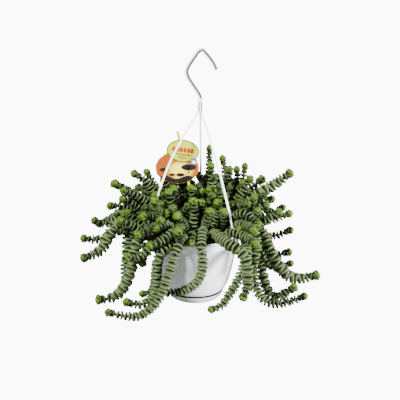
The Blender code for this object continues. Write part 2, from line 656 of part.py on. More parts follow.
class Guide:
    """Reads a stem's middle, its cross axes and its leaves' reach at any distance from the root."""

    def __init__(self, stem):
        """Measures the line and carries a pair of cross axes along it."""
        self.line = stem.line
        self.radii = stem.radii
        spans = np.linalg.norm(np.diff(self.line, axis=0), axis=1)
        self.along = np.concatenate([[0], np.cumsum(spans)])
        self.length = self.along[-1]
        self.frames = self.carried_frames()

    def carried_frames(self):
        """The two cross axes at each point, which turn no more than the line does."""
        ahead = np.gradient(self.line, axis=0)
        padded = np.vstack([ahead[0], ahead, ahead[-1]])
        ahead = padded[:-2] + 2 * ahead + padded[2:]
        ahead /= np.linalg.norm(ahead, axis=1)[:, None]
        side = np.array([1.0, 0.0, 0.0])
        frames = []
        for forward in ahead:
            side = side - forward * side.dot(forward)
            side /= np.linalg.norm(side)
            frames.append((side, np.cross(forward, side)))
        return frames

    def at(self, distance):
        """The middle, the cross axes and the leaves' reach at this distance."""
        distance = min(distance, self.length)
        middle = np.array([np.interp(distance, self.along, self.line[:, k]) for k in range(3)])
        low = min(int(np.searchsorted(self.along, distance, side="right")) - 1, len(self.along) - 2)
        share = (distance - self.along[low]) / (self.along[low + 1] - self.along[low])
        before, after = self.frames[low], self.frames[low + 1]
        side, over = ((1 - share) * before[n] + share * after[n] for n in (0, 1))
        side = side / np.linalg.norm(side)
        over = over - side * side.dot(over)
        frame = (side, over / np.linalg.norm(over))
        return middle, frame, float(np.interp(distance, self.along, self.radii))

    def bud(self):
        """The bud's point, a little past the end of the line."""
        ahead = self.line[-1] - self.line[-2]
        return self.line[-1] + ahead / np.linalg.norm(ahead) * BUD_POINT


class LeafyNode:
    """The mesh of one crown: a root with its leading stem and any side shoots, closed and in one piece."""

    def __init__(self):
        """Starts with nothing."""
        self.points = []
        self.faces = []
        self.sprouts = []

    def ring(self, centre, frame, reaches, start_angle):
        """Adds a ring of points around a centre and gives their numbers."""
        side, over = frame
        numbers = []
        for k, reach in enumerate(reaches):
            angle = start_angle + 2 * math.pi * k / len(reaches)
            self.points.append(centre + reach * (math.cos(angle) * side + math.sin(angle) * over))
            numbers.append(len(self.points) - 1)
        return numbers

    def band(self, low, high):
        """Joins two rings of as many points each, each point to its nearest."""

        def stretch(turn):
            pairs = zip(low, high[turn:] + high[:turn])
            return sum(np.linalg.norm(self.points[a] - self.points[b]) for a, b in pairs)

        turn = min(range(len(high)), key=stretch)
        high = high[turn:] + high[:turn]
        for k in range(len(low)):
            a, b = low[k], low[(k + 1) % len(low)]
            self.faces.append((a, b, high[k]))
            self.faces.append((b, high[(k + 1) % len(high)], high[k]))

    def zip_up(self, low, high):
        """Joins a ring of three points and one of four, both counted from the same side of the stem."""
        if len(low) == 4:
            for k in range(3):
                self.faces.append((low[k], low[k + 1], high[k]))
                self.faces.append((low[k + 1], high[(k + 1) % 3], high[k]))
            self.faces.append((low[3], low[0], high[0]))
        else:
            for k in range(3):
                self.faces.append((low[k], high[k + 1], high[k]))
                self.faces.append((low[k], low[(k + 1) % 3], high[k + 1]))
            self.faces.append((low[0], high[0], high[3]))

    def grow(self, stem, base, bare_ring):
        """Grows a stem out of the base ring: a bare length, then its pairs of leaves, then the bud."""
        guide = Guide(stem)
        pairs = max(1, round((guide.length - FIRST_PAIR) / PAIR_PITCH))
        pitch = (guide.length - FIRST_PAIR) / (pairs - 1 + LAST_PAIR)
        centre, frame, _ = guide.at(bare_ring)
        first = self.points[base[0]] - sum(self.points[n] for n in base) / len(base)
        turn = math.atan2(first.dot(frame[1]), first.dot(frame[0]))
        ring = self.ring(centre, frame, [ROOT_RADIUS] * ROOT_SIDES, turn)
        self.band(base, ring)
        for k in range(pairs):
            centre, frame, radius = guide.at(FIRST_PAIR + k * pitch)
            core = self.ring(centre, frame, [max(ROOT_RADIUS, CORE_SHARE * radius)] * ROOT_SIDES, turn)
            join = self.zip_up if k else self.band
            join(ring, core)
            centre, frame, radius = guide.at(FIRST_PAIR + (k + PAIR_PEAK) * pitch)
            shares = (1.0, LEAF_SHORT) if k % 2 else (LEAF_SHORT, 1.0)
            ring = self.ring(centre, frame, [radius * share for share in shares * 2], turn)
            self.zip_up(core, ring)
        self.points.append(guide.bud())
        apex = len(self.points) - 1
        for a, b in zip(ring, ring[1:] + ring[:1]):
            self.faces.append((a, b, apex))

    def plant(self, stem):
        """Adds the straight root and the leading stem; side shoots can sprout from the band above it."""
        upright = (np.array([1.0, 0.0, 0.0]), np.array([0.0, 1.0, 0.0]))
        foot = stem.line[0] + UP * (GAP - ROOT_DEPTH)
        head = stem.line[0] + UP * COLLAR_OF_ROOT
        low = self.ring(foot, upright, [ROOT_RADIUS] * ROOT_SIDES, math.radians(ROOT_TURN))
        self.faces.append(tuple(reversed(low)))
        high = self.ring(head, upright, [ROOT_RADIUS] * ROOT_SIDES, math.radians(ROOT_TURN))
        self.band(low, high)
        first = len(self.faces)
        self.grow(stem, high, BARE_RING)
        self.sprouts = self.faces[first : first + 2 * ROOT_SIDES]

    def facing(self, face, stem):
        """How squarely a bare face looks towards the way this side shoot goes."""
        a, b, c = (self.points[n] for n in face)
        normal = np.cross(b - a, c - a)
        aim = stem.line[2] - (a + b + c) / 3
        return normal.dot(aim) / np.linalg.norm(normal) / np.linalg.norm(aim)

    def sprout(self, shoots):
        """Grows the side shoots, each out of a face that looks its way and shares no edge with another's."""

        def apart(faces):
            return all(len(set(a) & set(b)) < 2 for a, b in itertools.combinations(faces, 2))

        def worst(faces):
            return min(self.facing(face, shoot) for face, shoot in zip(faces, shoots))

        best = max(filter(apart, itertools.permutations(self.sprouts, len(shoots))), key=worst)
        for face, shoot in zip(best, shoots):
            self.faces.remove(face)
            self.grow(shoot, list(face), SHOOT_RING)


def new_object(name, points, faces, finish, parent):
    """An object of a closed mesh with its faces turned out, its points given in millimetres."""
    mesh = bpy.data.meshes.new(name)
    mesh.from_pydata([Vector(point) * MM for point in points], [], [tuple(face) for face in faces])
    shell = bmesh.new()
    shell.from_mesh(mesh)
    bmesh.ops.recalc_face_normals(shell, faces=shell.faces)
    shell.to_mesh(mesh)
    shell.free()
    made = bpy.data.objects.new(name, mesh)
    bpy.context.collection.objects.link(made)
    if finish is not None:
        mesh.materials.append(finish)
    made.parent = parent
    return made


def material(name, colour, roughness):
    """A plain material of this colour."""
    made = bpy.data.materials.new(name)
    made.use_nodes = True
    shader = made.node_tree.nodes["Principled BSDF"]
    shader.inputs["Base Color"].default_value = (*colour, 1.0)
    shader.inputs["Roughness"].default_value = roughness
    made.diffuse_color = (*colour, 1.0)
    return made


def combine(target, tool, operation):
    """Adds a modifier that joins the tool to the target or cuts it out."""
    modifier = target.modifiers.new(tool.name, "BOOLEAN")
    modifier.operation = operation
    modifier.solver = "EXACT"
    modifier.object = tool


def cut(target, name, shapes, parent):
    """Cuts the shapes out of the target."""
    tool = new_object(name, *joined(shapes), None, parent)
    tool.hide_render = True
    tool.display_type = "WIRE"
    combine(target, tool, "DIFFERENCE")


def fused(name, shapes, finish, parent):
    """One object of several overlapping closed shapes."""
    base = new_object(name, *shapes[0], finish, None)
    tools = [new_object(f"{name}_{k}", *shape, None, None) for k, shape in enumerate(shapes[1:])]
    for tool in tools:
        combine(base, tool, "UNION")
    settled = base.evaluated_get(bpy.context.evaluated_depsgraph_get())
    whole = bpy.data.meshes.new_from_object(settled)
    whole.name = name
    base.modifiers.clear()
    base.data = whole
    for tool in tools:
        bpy.data.objects.remove(tool)
    base.parent = parent
    return base


def turned(profile):
    """Points and faces of a closed (radius, z) profile turned about the axis, with shared points on it."""
    points, faces, rows = [], [], []
    for radius, z in profile:
        if radius == 0:
            points.append((0.0, 0.0, z))
            rows.append([len(points) - 1] * SEGMENTS)
        else:
            rows.append(range(len(points), len(points) + SEGMENTS))
            points += [tuple(polar(360 * k / SEGMENTS, radius, z)) for k in range(SEGMENTS)]
    for low, high in zip(rows, rows[1:] + rows[:1]):
        for k in range(SEGMENTS):
            corners = (low[k], low[(k + 1) % SEGMENTS], high[(k + 1) % SEGMENTS], high[k])
            face = tuple(dict.fromkeys(corners))
            if len(face) > 2:
                faces.append(face)
    return points, faces


def flat_cap(points, faces, z):
    """Joins the faces of a turned shape that fan about the axis at this height into one flat face."""
    centre = points.index((0.0, 0.0, z))
    fan = [face for face in faces if centre in face]
    rim = {n for face in fan for n in face if n != centre}
    ring = sorted(rim, key=lambda n: math.atan2(points[n][1], points[n][0]))
    kept = [face for face in faces if centre not in face] + [tuple(ring)]
    renumber = {n: n - (n > centre) for n in range(len(points)) if n != centre}
    return points[:centre] + points[centre + 1 :], [tuple(renumber[n] for n in face) for face in kept]


def prism_faces(n):
    """The faces of a prism whose points are one ring of n corners, then the other."""
    sides = [(k, (k + 1) % n, n + (k + 1) % n, n + k) for k in range(n)]
    return sides + [tuple(reversed(range(n))), tuple(range(n, 2 * n))]


def upright_prism(centre, radius, sides, turn, low, high):
    """Points and faces of a regular upright prism around a centre, its first corner at a bearing."""
    corners = [centre[:2] + polar(turn + 360 / sides * k, radius)[:2] for k in range(sides)]
    return [(x, y, z) for z in (low, high) for x, y in corners], prism_faces(sides)


def joined(shapes):
    """Several closed shapes as one list of points and faces."""
    points, faces = [], []
    for shape_points, shape_faces in shapes:
        start = len(points)
        points += list(shape_points)
        faces += [tuple(start + n for n in face) for face in shape_faces]
    return points, faces


def bar(route, size, face_out):
    """Points and faces of a flat bar along a route; its width lies across the direction in face_out."""
    width, thickness = size
    points, faces = [], []
    out = face_out
    for k, centre in enumerate(route):
        before = route[max(0, k - 1)]
        after = route[min(len(route) - 1, k + 1)]
        ahead = (after - before) / np.linalg.norm(after - before)
        side = face_out - ahead * ahead.dot(face_out)
        side /= np.linalg.norm(side)
        out = side if side.dot(out) >= 0.0 else -side  # so that a bar that curls over isn't twisted
        across = np.cross(ahead, out)
        bend = 1.0
        if 0 < k < len(route) - 1:
            span = (centre - before) / np.linalg.norm(centre - before)
            bend = 1.0 / max(SHARPEST_BEND, ahead.dot(span))
        for a, b in ((-1, -1), (1, -1), (1, 1), (-1, 1)):
            points.append(centre + across * a * width / 2 + out * b * thickness / 2 * bend)
    last = 4 * (len(route) - 1)
    for k in range(0, last, 4):
        faces += [(k + a, k + (a + 1) % 4, k + 4 + (a + 1) % 4, k + 4 + a) for a in range(4)]
    faces += [(3, 2, 1, 0), (last, last + 1, last + 2, last + 3)]
    return points, faces


def inner_wall(inset):
    """The pot's inside wall from floor to rim, or the soil's side when set in by the gap."""
    wall = [(FLOOR_RADIUS - inset, FLOOR + inset), (HEEL[0] - inset, HEEL[1])]
    for radius, z in reversed(SHOULDER[1:5]):
        wall.append((radius - WALL - inset, z + BEND_LIFT))
    return wall


def pot_profile():
    """The pot's section: rim, hanging collar, bowl and foot outside, then the plain inside."""
    collar_in = COLLAR_RADIUS - COLLAR_THICKNESS
    outside = [
        (RIM_RADIUS - RIM_EDGE, 0.0),
        (RIM_RADIUS, -RIM_EDGE),
        (RIM_RADIUS, -LIP_HEIGHT),
        (COLLAR_RADIUS, -LIP_HEIGHT - RIM_EDGE),
        (COLLAR_RADIUS, -COLLAR_HEIGHT),
        (collar_in, -COLLAR_HEIGHT),
        (collar_in, SHOULDER[0][1] + COLLAR_ROOT),
    ]
    foot = [
        (FOOT_RADIUS, FOOT_BOTTOM),
        (FOOT_RADIUS - WALL, FOOT_BOTTOM),
        (FOOT_RADIUS - WALL, FOOT_BOTTOM + FOOT_RECESS),
        (0.0, FOOT_BOTTOM + FOOT_RECESS),
    ]
    mouth = (RIM_RADIUS - 2 * WALL - RIM_EDGE, 0.0)
    return outside + list(SHOULDER) + foot + [(0.0, FLOOR)] + inner_wall(0.0) + [mouth]


def notch(bearing):
    """Points and faces of the gabled block that is cut out of the collar at a bearing."""
    half, slope = NOTCH_WIDTH / 2, NOTCH_WIDTH / 2 * NOTCH_SLOPE
    foot, eaves = -COLLAR_HEIGHT - CUT_BEYOND, -COLLAR_HEIGHT + NOTCH_EAVES
    ridge = (0.0, -COLLAR_HEIGHT + NOTCH_HEIGHT)
    gable = [(-half, foot), (half, foot), (slope, eaves), ridge, (-slope, eaves)]
    across = polar(bearing + 90.0, 1.0)
    points = []
    for depth in (-1.5, 1.5):
        face = COLLAR_RADIUS + depth * COLLAR_THICKNESS
        points += [polar(bearing, face, z) + across * aside for aside, z in gable]
    return points, prism_faces(len(gable))


def make_pot(parent):
    """The pot: turned, then cut for its gabled clip notches and its drain holes."""
    finish = material("white_plastic", (0.86, 0.87, 0.86), 0.38)
    pot = new_object("pot", *turned(pot_profile()), finish, parent)
    openings = [notch(CLIP_BEARING + 360 / NOTCHES * k) for k in range(NOTCHES)]
    for k in range(DRAINS):
        centre = polar(45 + 360 / DRAINS * k, DRAIN_CIRCLE)
        low, high = FOOT_BOTTOM - CUT_BEYOND, FLOOR + CUT_BEYOND
        openings.append(upright_prism(centre, DRAIN_RADIUS, DRAIN_SIDES, 0.0, low, high))
    cut(pot, "pot_openings", openings, parent)


def make_saucer(parent):
    """The saucer: a plain dish with a flat base, pushed onto the pot's foot."""
    radius, top = SAUCER_RIM
    inner_floor = FOOT_BOTTOM - GAP
    profile = [
        (radius, top),
        (radius - SAUCER_LIP[0], top - SAUCER_LIP[1]),
        (SAUCER_BASE_RADIUS + SAUCER_HEEL[0], SAUCER_BASE + SAUCER_HEEL[1]),
        (SAUCER_BASE_RADIUS, SAUCER_BASE),
        (0.0, SAUCER_BASE),
        (0.0, inner_floor),
        (FOOT_RADIUS + GAP, inner_floor),
        (radius - WALL, top),
    ]
    finish = material("saucer_plastic", (0.78, 0.79, 0.79), 0.25)
    new_object("saucer", *flat_cap(*turned(profile), SAUCER_BASE), finish, parent)


def make_soil(stems, parent):
    """The soil: the pot's inside, with a hole for each root and a slot for the label's stick."""
    wall = inner_wall(GAP)
    side = [point for point in wall if point[1] < SOIL_TOP]
    profile = [(0.0, SOIL_TOP), (wall[-1][0], SOIL_TOP)] + side[::-1] + [(0.0, side[0][1])]
    soil = new_object("soil", *turned(profile), material("peat", (0.035, 0.025, 0.018), 0.95), parent)
    low, high = SOIL_TOP - ROOT_DEPTH, SOIL_TOP + CUT_BEYOND
    holes = []
    for root in sorted({tuple(stem.line[0]) for stem in stems}):
        radius = ROOT_RADIUS + ROOT_CLEARANCE
        holes.append(upright_prism(np.array(root), radius, ROOT_SIDES, ROOT_TURN, low, high))
    slot = (STICK[0] + 2 * GAP, STICK[1] + 2 * GAP)
    holes.append(bar(stick_route(beyond=GAP), slot, TO_FRONT))
    cut(soil, "soil_openings", holes, parent)


def stick_route(beyond=0.0):
    """The stick's two ends, behind the card, its foot further on by this much."""
    y = CARD_Y + CARD_THICKNESS / 2 + STICK[1] / 2 - STICK_SINK
    top = np.array([STICK_TOP[0], y, STICK_TOP[1]])
    foot = np.array([STICK_FOOT[0], y, STICK_FOOT[1]])
    return top, foot + (foot - top) / np.linalg.norm(foot - top) * beyond


def make_label(parent):
    """The label: the card's outline is the farther of its two ovals, and the stick is fused on behind."""
    x, z = (DISC.x + NAME_PLATE.x) / 2, DISC.z + DISC.half_z - CARD_OVERLAP
    outline = []
    for k in range(CARD_SEGMENTS):
        angle = math.tau * (k + 0.5) / CARD_SEGMENTS
        reach = max(oval.reach(x, z, angle) for oval in (DISC, NAME_PLATE))
        outline.append((x + reach * math.cos(angle), z + reach * math.sin(angle)))
    sides = (CARD_Y - CARD_THICKNESS / 2, CARD_Y + CARD_THICKNESS / 2)
    card = [(across, y, above) for y in sides for across, above in outline]
    shapes = [(card, prism_faces(CARD_SEGMENTS)), bar(stick_route(), STICK, TO_FRONT)]
    fused("label", shapes, material("label_card", (0.72, 0.76, 0.16), 0.45), parent)


def make_hook(parent):
    """The hook, bent from one bar, which stands on the neck of the arms."""
    points, faces = bar([np.array([HOOK_X + x, 0.0, z]) for x, z in HOOK_ROUTE], HOOK_BAR, HOOK_FACE)
    new_object("hook", points, faces, material("hook_plastic", (0.88, 0.89, 0.88), 0.35), parent)


def make_hanger(parent):
    """The arms of the hanger: a short neck, then each arm with the two legs of its clip, fused in one piece."""
    neck = [np.array([HOOK_X, 0.0, z]) for z in (NECK_BOTTOM, NECK_TOP)]
    shapes = [bar(neck, HOOK_BAR, HOOK_FACE)]
    for arm in ARMS:
        outward = polar(arm.bearing, 1.0)
        shapes.append(bar(arm.line(), STRAP, outward))
        for leg in arm.legs():
            shapes.append(bar(leg, (LEG_WIDTH, STRAP[1]), outward + UP * LEG_LEAN))
    fused("hanger", shapes, material("hanger_plastic", (0.88, 0.89, 0.88), 0.35), parent)


def leaf_green(number):
    """This crown's green, somewhere between the dark and the light one."""
    share = 0.5 + 0.5 * math.sin(number * 2.4)
    return tuple(dark + (light - dark) * share for dark, light in zip(LEAF_DARK, LEAF_LIGHT))


def make_plants(stems, parent):
    """The leafy stems, one object for each crown: the leading stem and the side shoots of its root."""
    for number in range(MOST_CROWNS):
        crown = sorted((stem for stem in stems if stem.crown == number), key=lambda stem: -len(stem.line))
        node = LeafyNode()
        node.plant(crown[0])
        if crown[1:]:
            node.sprout(crown[1:])
        finish = material(f"leaf_{number + 1:02d}", leaf_green(number), 0.5)
        new_object(f"stem_{number + 1:02d}", node.points, node.faces, finish, parent)


def main():
    """Builds the hanging pot and everything in it."""
    for old in list(bpy.data.objects):
        bpy.data.objects.remove(old)
    seat = bpy.data.objects.new("hook_seat_frame", None)
    bpy.context.collection.objects.link(seat)
    seat.matrix_world = Matrix.Translation(Vector(HOOK_SEAT) * -MM)
    stems = sighted_stems() + far_side_stems()
    share_crowns(stems)
    Settling(stems).run()
    make_pot(seat)
    make_saucer(seat)
    make_soil(stems, seat)
    make_hook(seat)
    make_hanger(seat)
    make_label(seat)
    make_plants(stems, seat)


main()
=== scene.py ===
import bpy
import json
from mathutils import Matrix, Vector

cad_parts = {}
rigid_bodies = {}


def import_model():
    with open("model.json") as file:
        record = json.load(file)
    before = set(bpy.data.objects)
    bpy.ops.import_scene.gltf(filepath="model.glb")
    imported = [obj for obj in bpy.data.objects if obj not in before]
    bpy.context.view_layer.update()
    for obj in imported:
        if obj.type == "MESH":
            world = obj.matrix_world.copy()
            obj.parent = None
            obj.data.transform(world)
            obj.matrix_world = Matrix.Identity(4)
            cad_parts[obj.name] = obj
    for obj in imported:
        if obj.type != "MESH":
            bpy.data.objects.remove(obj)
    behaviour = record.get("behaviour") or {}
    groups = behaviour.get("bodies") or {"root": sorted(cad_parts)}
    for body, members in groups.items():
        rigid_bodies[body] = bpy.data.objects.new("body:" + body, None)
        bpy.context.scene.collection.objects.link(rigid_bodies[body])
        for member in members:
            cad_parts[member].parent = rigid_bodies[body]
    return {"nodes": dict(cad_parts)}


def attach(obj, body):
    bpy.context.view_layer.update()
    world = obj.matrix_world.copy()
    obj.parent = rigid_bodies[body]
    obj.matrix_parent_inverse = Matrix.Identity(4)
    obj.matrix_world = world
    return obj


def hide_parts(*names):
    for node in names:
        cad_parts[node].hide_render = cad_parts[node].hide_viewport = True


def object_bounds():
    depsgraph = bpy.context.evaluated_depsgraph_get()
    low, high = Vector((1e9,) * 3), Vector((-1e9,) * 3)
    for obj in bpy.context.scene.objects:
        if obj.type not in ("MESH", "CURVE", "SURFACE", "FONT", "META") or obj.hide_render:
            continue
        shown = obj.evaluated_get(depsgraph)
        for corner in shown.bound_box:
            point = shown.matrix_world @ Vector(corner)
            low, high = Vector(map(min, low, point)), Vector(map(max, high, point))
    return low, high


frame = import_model()

"""Dresses a trailing crassula in a white hanging pot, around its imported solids.

Lengths in the dataclasses are in millimetres from the centre of the pot's rim, with x to the right, y to the
back and z up, unless they say otherwise. Meshes are made in metres and counted like the solids, from the seat
in the hook's crown.
"""

import json
import logging
import math
import random
from collections.abc import Iterable, Sequence
from dataclasses import dataclass, field
from enum import Enum

import bmesh
import bpy
import numpy as np
from mathutils import Vector
from mathutils.noise import noise

LOG = logging.getLogger("potted_crassula")
MM = 0.001
SEED = 5
UP = Vector((0, 0, 1))
FRONT = Vector((0, -1, 0))
WHITE = (1.0, 1.0, 1.0)
SAME_PLACE = 1e-7  # points of a new mesh that are nearer than this, in metres, become one
SAME_CORNER = 2e-6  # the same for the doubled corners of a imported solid
EDGE_BEND = (0.45, 3)  # the most of a side that a bend takes up and its chords, for a turned profile
ROUTE_BEND = (0.48, 5)  # the same for a bar's route
Colour = tuple[float, float, float]
Place = tuple[float, float, float]
Profile = list[tuple[float, float]]
Face = tuple[int, ...]
Socket = bpy.types.NodeSocket
Sockets = bpy.types.bpy_prop_collection
Inputs = dict[str | int, object]
SOLID_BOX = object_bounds()


@dataclass(frozen=True)
class Datum:
    """Where the pot stands, from the seat in the hook's crown."""

    axis_x: float = -9.0
    rim_z: float = -277.0
    soil_z: float = -289.0
    root_z: float = -302.7

    def point(self, x: float, y: float, z: float) -> Vector:
        """A point given from the centre of the rim, in metres from the hook's seat."""
        return Vector(((self.axis_x + x) * MM, y * MM, (self.rim_z + z) * MM))

    def from_rim(self, place: np.ndarray) -> np.ndarray:
        """A place given in metres from the hook's seat, in millimetres from the centre of the rim."""
        return place / MM - np.array([self.axis_x, 0.0, self.rim_z])


DATUM = Datum()
SOIL_LEVEL = DATUM.soil_z - DATUM.rim_z


class Slot(Enum):
    """The record's material slots."""

    POT = "pot_plastic"
    SAUCER = "saucer_plastic"
    PEAT = "peat"
    HANGER = "hanger_plastic"
    LABEL = "label_card"
    LEAF = "leaf"


class LeafStage(Enum):
    """How far a pair of leaves has opened, from the oldest to the bud."""

    OPEN = 0
    SPREAD = 1
    YOUNG = 2
    CLOSING = 3
    BUD = 4


# Small helpers


def ramp(value: float, start: float, end: float) -> float:
    """How far a value lies from a start, where it gives 0, to an end, where it gives 1."""
    return min(1.0, max(0.0, (value - start) / (end - start)))


def unit(vector: np.ndarray) -> np.ndarray:
    """The vector with length 1."""
    return vector / np.linalg.norm(vector)


def headings(line: np.ndarray) -> np.ndarray:
    """The direction of a line at each of its points."""
    ahead = np.gradient(line, axis=0)
    return ahead / np.linalg.norm(ahead, axis=1)[:, None]


def distances_along(line: np.ndarray) -> np.ndarray:
    """How far along a line each of its points lies."""
    return np.concatenate([[0.0], np.cumsum(np.linalg.norm(np.diff(line, axis=0), axis=1))])


def compass(bearing: float) -> tuple[Vector, Vector]:
    """The level directions along a bearing in degrees and square to it."""
    angle = math.radians(bearing)
    return Vector((math.cos(angle), math.sin(angle), 0)), Vector((-math.sin(angle), math.cos(angle), 0))


def circle(radius: float, sides: int, z: float) -> list[Vector]:
    """The points of a level circle about the pot's axis."""
    turns = [math.tau * k / sides for k in range(sides)]
    return [DATUM.point(radius * math.cos(turn), radius * math.sin(turn), z) for turn in turns]


def bend(corner: Sequence[Sequence[float]], radius: float, share: float, steps: int) -> list[np.ndarray]:
    """Rounds a corner with a few chords.

    Args:
        corner: The points before, at and after the corner.
        radius: How far from the corner the bend begins.
        share: The most of each side's length that it may take up.
        steps: How many chords it has.

    Returns:
        The points of the bend.
    """
    before, here, after = (np.array(point) for point in corner)
    ends = []
    for leg in (before - here, after - here):
        length = np.linalg.norm(leg)
        ends.append(here + leg / length * min(radius, share * length))
    start, end = ends
    return [(1 - t) ** 2 * start + 2 * t * (1 - t) * here + t * t * end for t in np.linspace(0, 1, steps + 1)]


# Shader and geometry trees


class Tree:
    """A shader or geometry tree under construction."""

    def __init__(self, tree: bpy.types.NodeTree) -> None:
        """Wraps a node tree."""
        self.tree = tree

    def feed(self, target: Socket, value: object) -> None:
        """Gives an input its value.

        Args:
            target: The input.
            value: Another node's output, a colour without alpha, or any other constant.
        """
        if isinstance(value, Socket):
            self.tree.links.new(value, target)
        elif target.type == "RGBA":
            target.default_value = (*value, 1.0)
        else:
            target.default_value = value

    def fill(self, node: bpy.types.Node, inputs: Inputs) -> None:
        """Gives a node's inputs their values, by their names or places."""
        for place, value in inputs.items():
            self.feed(node.inputs[place], value)

    def add(self, kind: str, inputs: Inputs | None = None, **settings: object) -> bpy.types.Node:
        """Adds a node.

        Args:
            kind: Blender's type name of the node.
            inputs: The values of its inputs, by their names or places.
            **settings: Properties to set on it.

        Returns:
            The new node.
        """
        node = self.tree.nodes.new(kind)
        for name, value in settings.items():
            setattr(node, name, value)
        self.fill(node, inputs or {})
        return node

    def maths(self, operation: str, a: object, b: object = 0.0, clamp: bool = False) -> Socket:
        """The result of a sum on two numbers or outputs, kept from 0 to 1 if it is clamped."""
        return self.add("ShaderNodeMath", {0: a, 1: b}, operation=operation, use_clamp=clamp).outputs[0]

    def mix(self, factor: object, a: object, b: object) -> Socket:
        """A blend of two colours or outputs: the first where the factor is 0, the second where it is 1."""
        return self.add("ShaderNodeMix", {0: factor, 6: a, 7: b}, data_type="RGBA").outputs[2]

    def span(self, value: object, low: float, high: float, to_low: float = 0.0,
             to_high: float = 1.0) -> Socket:
        """Maps a value smoothly from one range to another.

        Args:
            value: The output to read.
            low: Where the range starts.
            high: Where it ends.
            to_low: The result at the start.
            to_high: The result at the end.

        Returns:
            The mapped value's output.
        """
        inputs = dict(enumerate((value, low, high, to_low, to_high)))
        return self.add("ShaderNodeMapRange", inputs, interpolation_type="SMOOTHSTEP").outputs[0]

    def attribute(self, name: str) -> Socket:
        """The value of a mesh attribute in a material."""
        return self.add("ShaderNodeAttribute", attribute_name=name).outputs["Fac"]

    def named(self, name: str, kind: str = "FLOAT") -> Socket:
        """The value of a mesh attribute in a geometry tree."""
        reader = self.add("GeometryNodeInputNamedAttribute", {"Name": name}, data_type=kind)
        return reader.outputs["Attribute"]

    def object_position(self) -> Socket:
        """The position on the piece, in metres."""
        return self.add("ShaderNodeTexCoord").outputs["Object"]

    def grain(self, scale: object, detail: float = 3.0, roughness: float = 0.55) -> Socket:
        """Noise over the piece.

        Args:
            scale: How many features there are to a metre.
            detail: The number of finer layers.
            roughness: How strong the finer layers are.

        Returns:
            The noise value's output.
        """
        inputs = {"Vector": self.object_position(), "Scale": scale, "Detail": detail, "Roughness": roughness}
        return self.add("ShaderNodeTexNoise", inputs).outputs["Fac"]

    def brightness(self, as_light: float, to_eye: float) -> Socket:
        """A strength that differs between what it lights and what the eye sees of it."""
        seen = self.add("ShaderNodeLightPath").outputs["Is Camera Ray"]
        return self.span(seen, 0.0, 1.0, as_light, to_eye)

    def end(self, geometry: Socket, finish: bpy.types.Material, result: Sockets) -> bpy.types.NodeTree:
        """Ends a geometry tree: makes its instances real and gives all their material.

        Args:
            geometry: The output to end with.
            finish: The material.
            result: The group's results.

        Returns:
            The finished node tree.
        """
        real = self.add("GeometryNodeRealizeInstances", {"Geometry": geometry}).outputs[0]
        dressed = self.add("GeometryNodeSetMaterial", {"Geometry": real, "Material": finish}).outputs[0]
        self.feed(result["Geometry"], dressed)
        return self.tree


def new_group(name: str, kind: str, takes: dict[str, str],
              gives: dict[str, str]) -> tuple[Tree, Sockets, Sockets]:
    """Starts a node group.

    Args:
        name: The group's name.
        kind: Shader or Geometry.
        takes: The kind of each named input.
        gives: The kind of each named result.

    Returns:
        Its tree, the outputs that hold what it takes, and the inputs for what it gives.
    """
    group = bpy.data.node_groups.new(name, f"{kind}NodeTree")
    for way, sockets in (("INPUT", takes), ("OUTPUT", gives)):
        for label, sort in sockets.items():
            group.interface.new_socket(name=label, in_out=way, socket_type=f"NodeSocket{sort}")
    tree = Tree(group)
    return tree, tree.add("NodeGroupInput").outputs, tree.add("NodeGroupOutput").inputs


def new_geometry_group(name: str, **takes: str) -> tuple[Tree, Sockets, Sockets]:
    """Starts a group that turns a geometry and the named values, whose kinds it gets, into a geometry."""
    inputs = {label.replace("_", " "): kind for label, kind in takes.items()}
    return new_group(name, "Geometry", {"Geometry": "Geometry"} | inputs, {"Geometry": "Geometry"})


def make_wear_group() -> bpy.types.NodeTree:
    """Builds the effect that soils and dulls a surface unevenly.

    Returns:
        A group that turns a clean colour and roughness into worn ones, with a fine height for a Bump node.
    """
    takes = {"Clean Colour": "Color", "Soil Colour": "Color", "Soil Amount": "Float",
             "Clean Roughness": "Float", "Patch Scale": "Float"}
    gives = {"Colour": "Color", "Roughness": "Float", "Height": "Float"}
    tree, given, result = new_group("handling_wear", "Shader", takes, gives)
    patches = tree.grain(given["Patch Scale"], 5.0, 0.5)
    dirty = tree.maths("MULTIPLY", tree.span(patches, 0.45, 0.72), given["Soil Amount"], clamp=True)
    dull = tree.maths("ADD", tree.maths("MULTIPLY", patches, 0.16), -0.06)
    tree.feed(result["Colour"], tree.mix(dirty, given["Clean Colour"], given["Soil Colour"]))
    tree.feed(result["Roughness"], tree.maths("ADD", given["Clean Roughness"], dull))
    tree.feed(result["Height"], tree.grain(2600.0, 2.0))
    return tree.tree


# Finishes


@dataclass(frozen=True)
class Finish:
    """What every finish has: a name and a way to start its material."""

    name: str

    def start(self) -> tuple[bpy.types.Material, Tree, bpy.types.Node]:
        """Starts a material.

        Returns:
            The material, its tree and its Principled shader.
        """
        made = bpy.data.materials.new(self.name)
        made.use_nodes = True
        return made, Tree(made.node_tree), made.node_tree.nodes["Principled BSDF"]

    def bump(self, tree: Tree, shader: bpy.types.Node, height: Socket, depth: float) -> None:
        """Adds fine relief.

        Args:
            tree: The material's tree.
            shader: The shader to roughen.
            height: The relief's output, from 0 to 1.
            depth: The relief's depth in millimetres.
        """
        relief = tree.add("ShaderNodeBump", {"Strength": 1.0, "Distance": depth * MM, "Height": height})
        tree.feed(shader.inputs["Normal"], relief.outputs["Normal"])


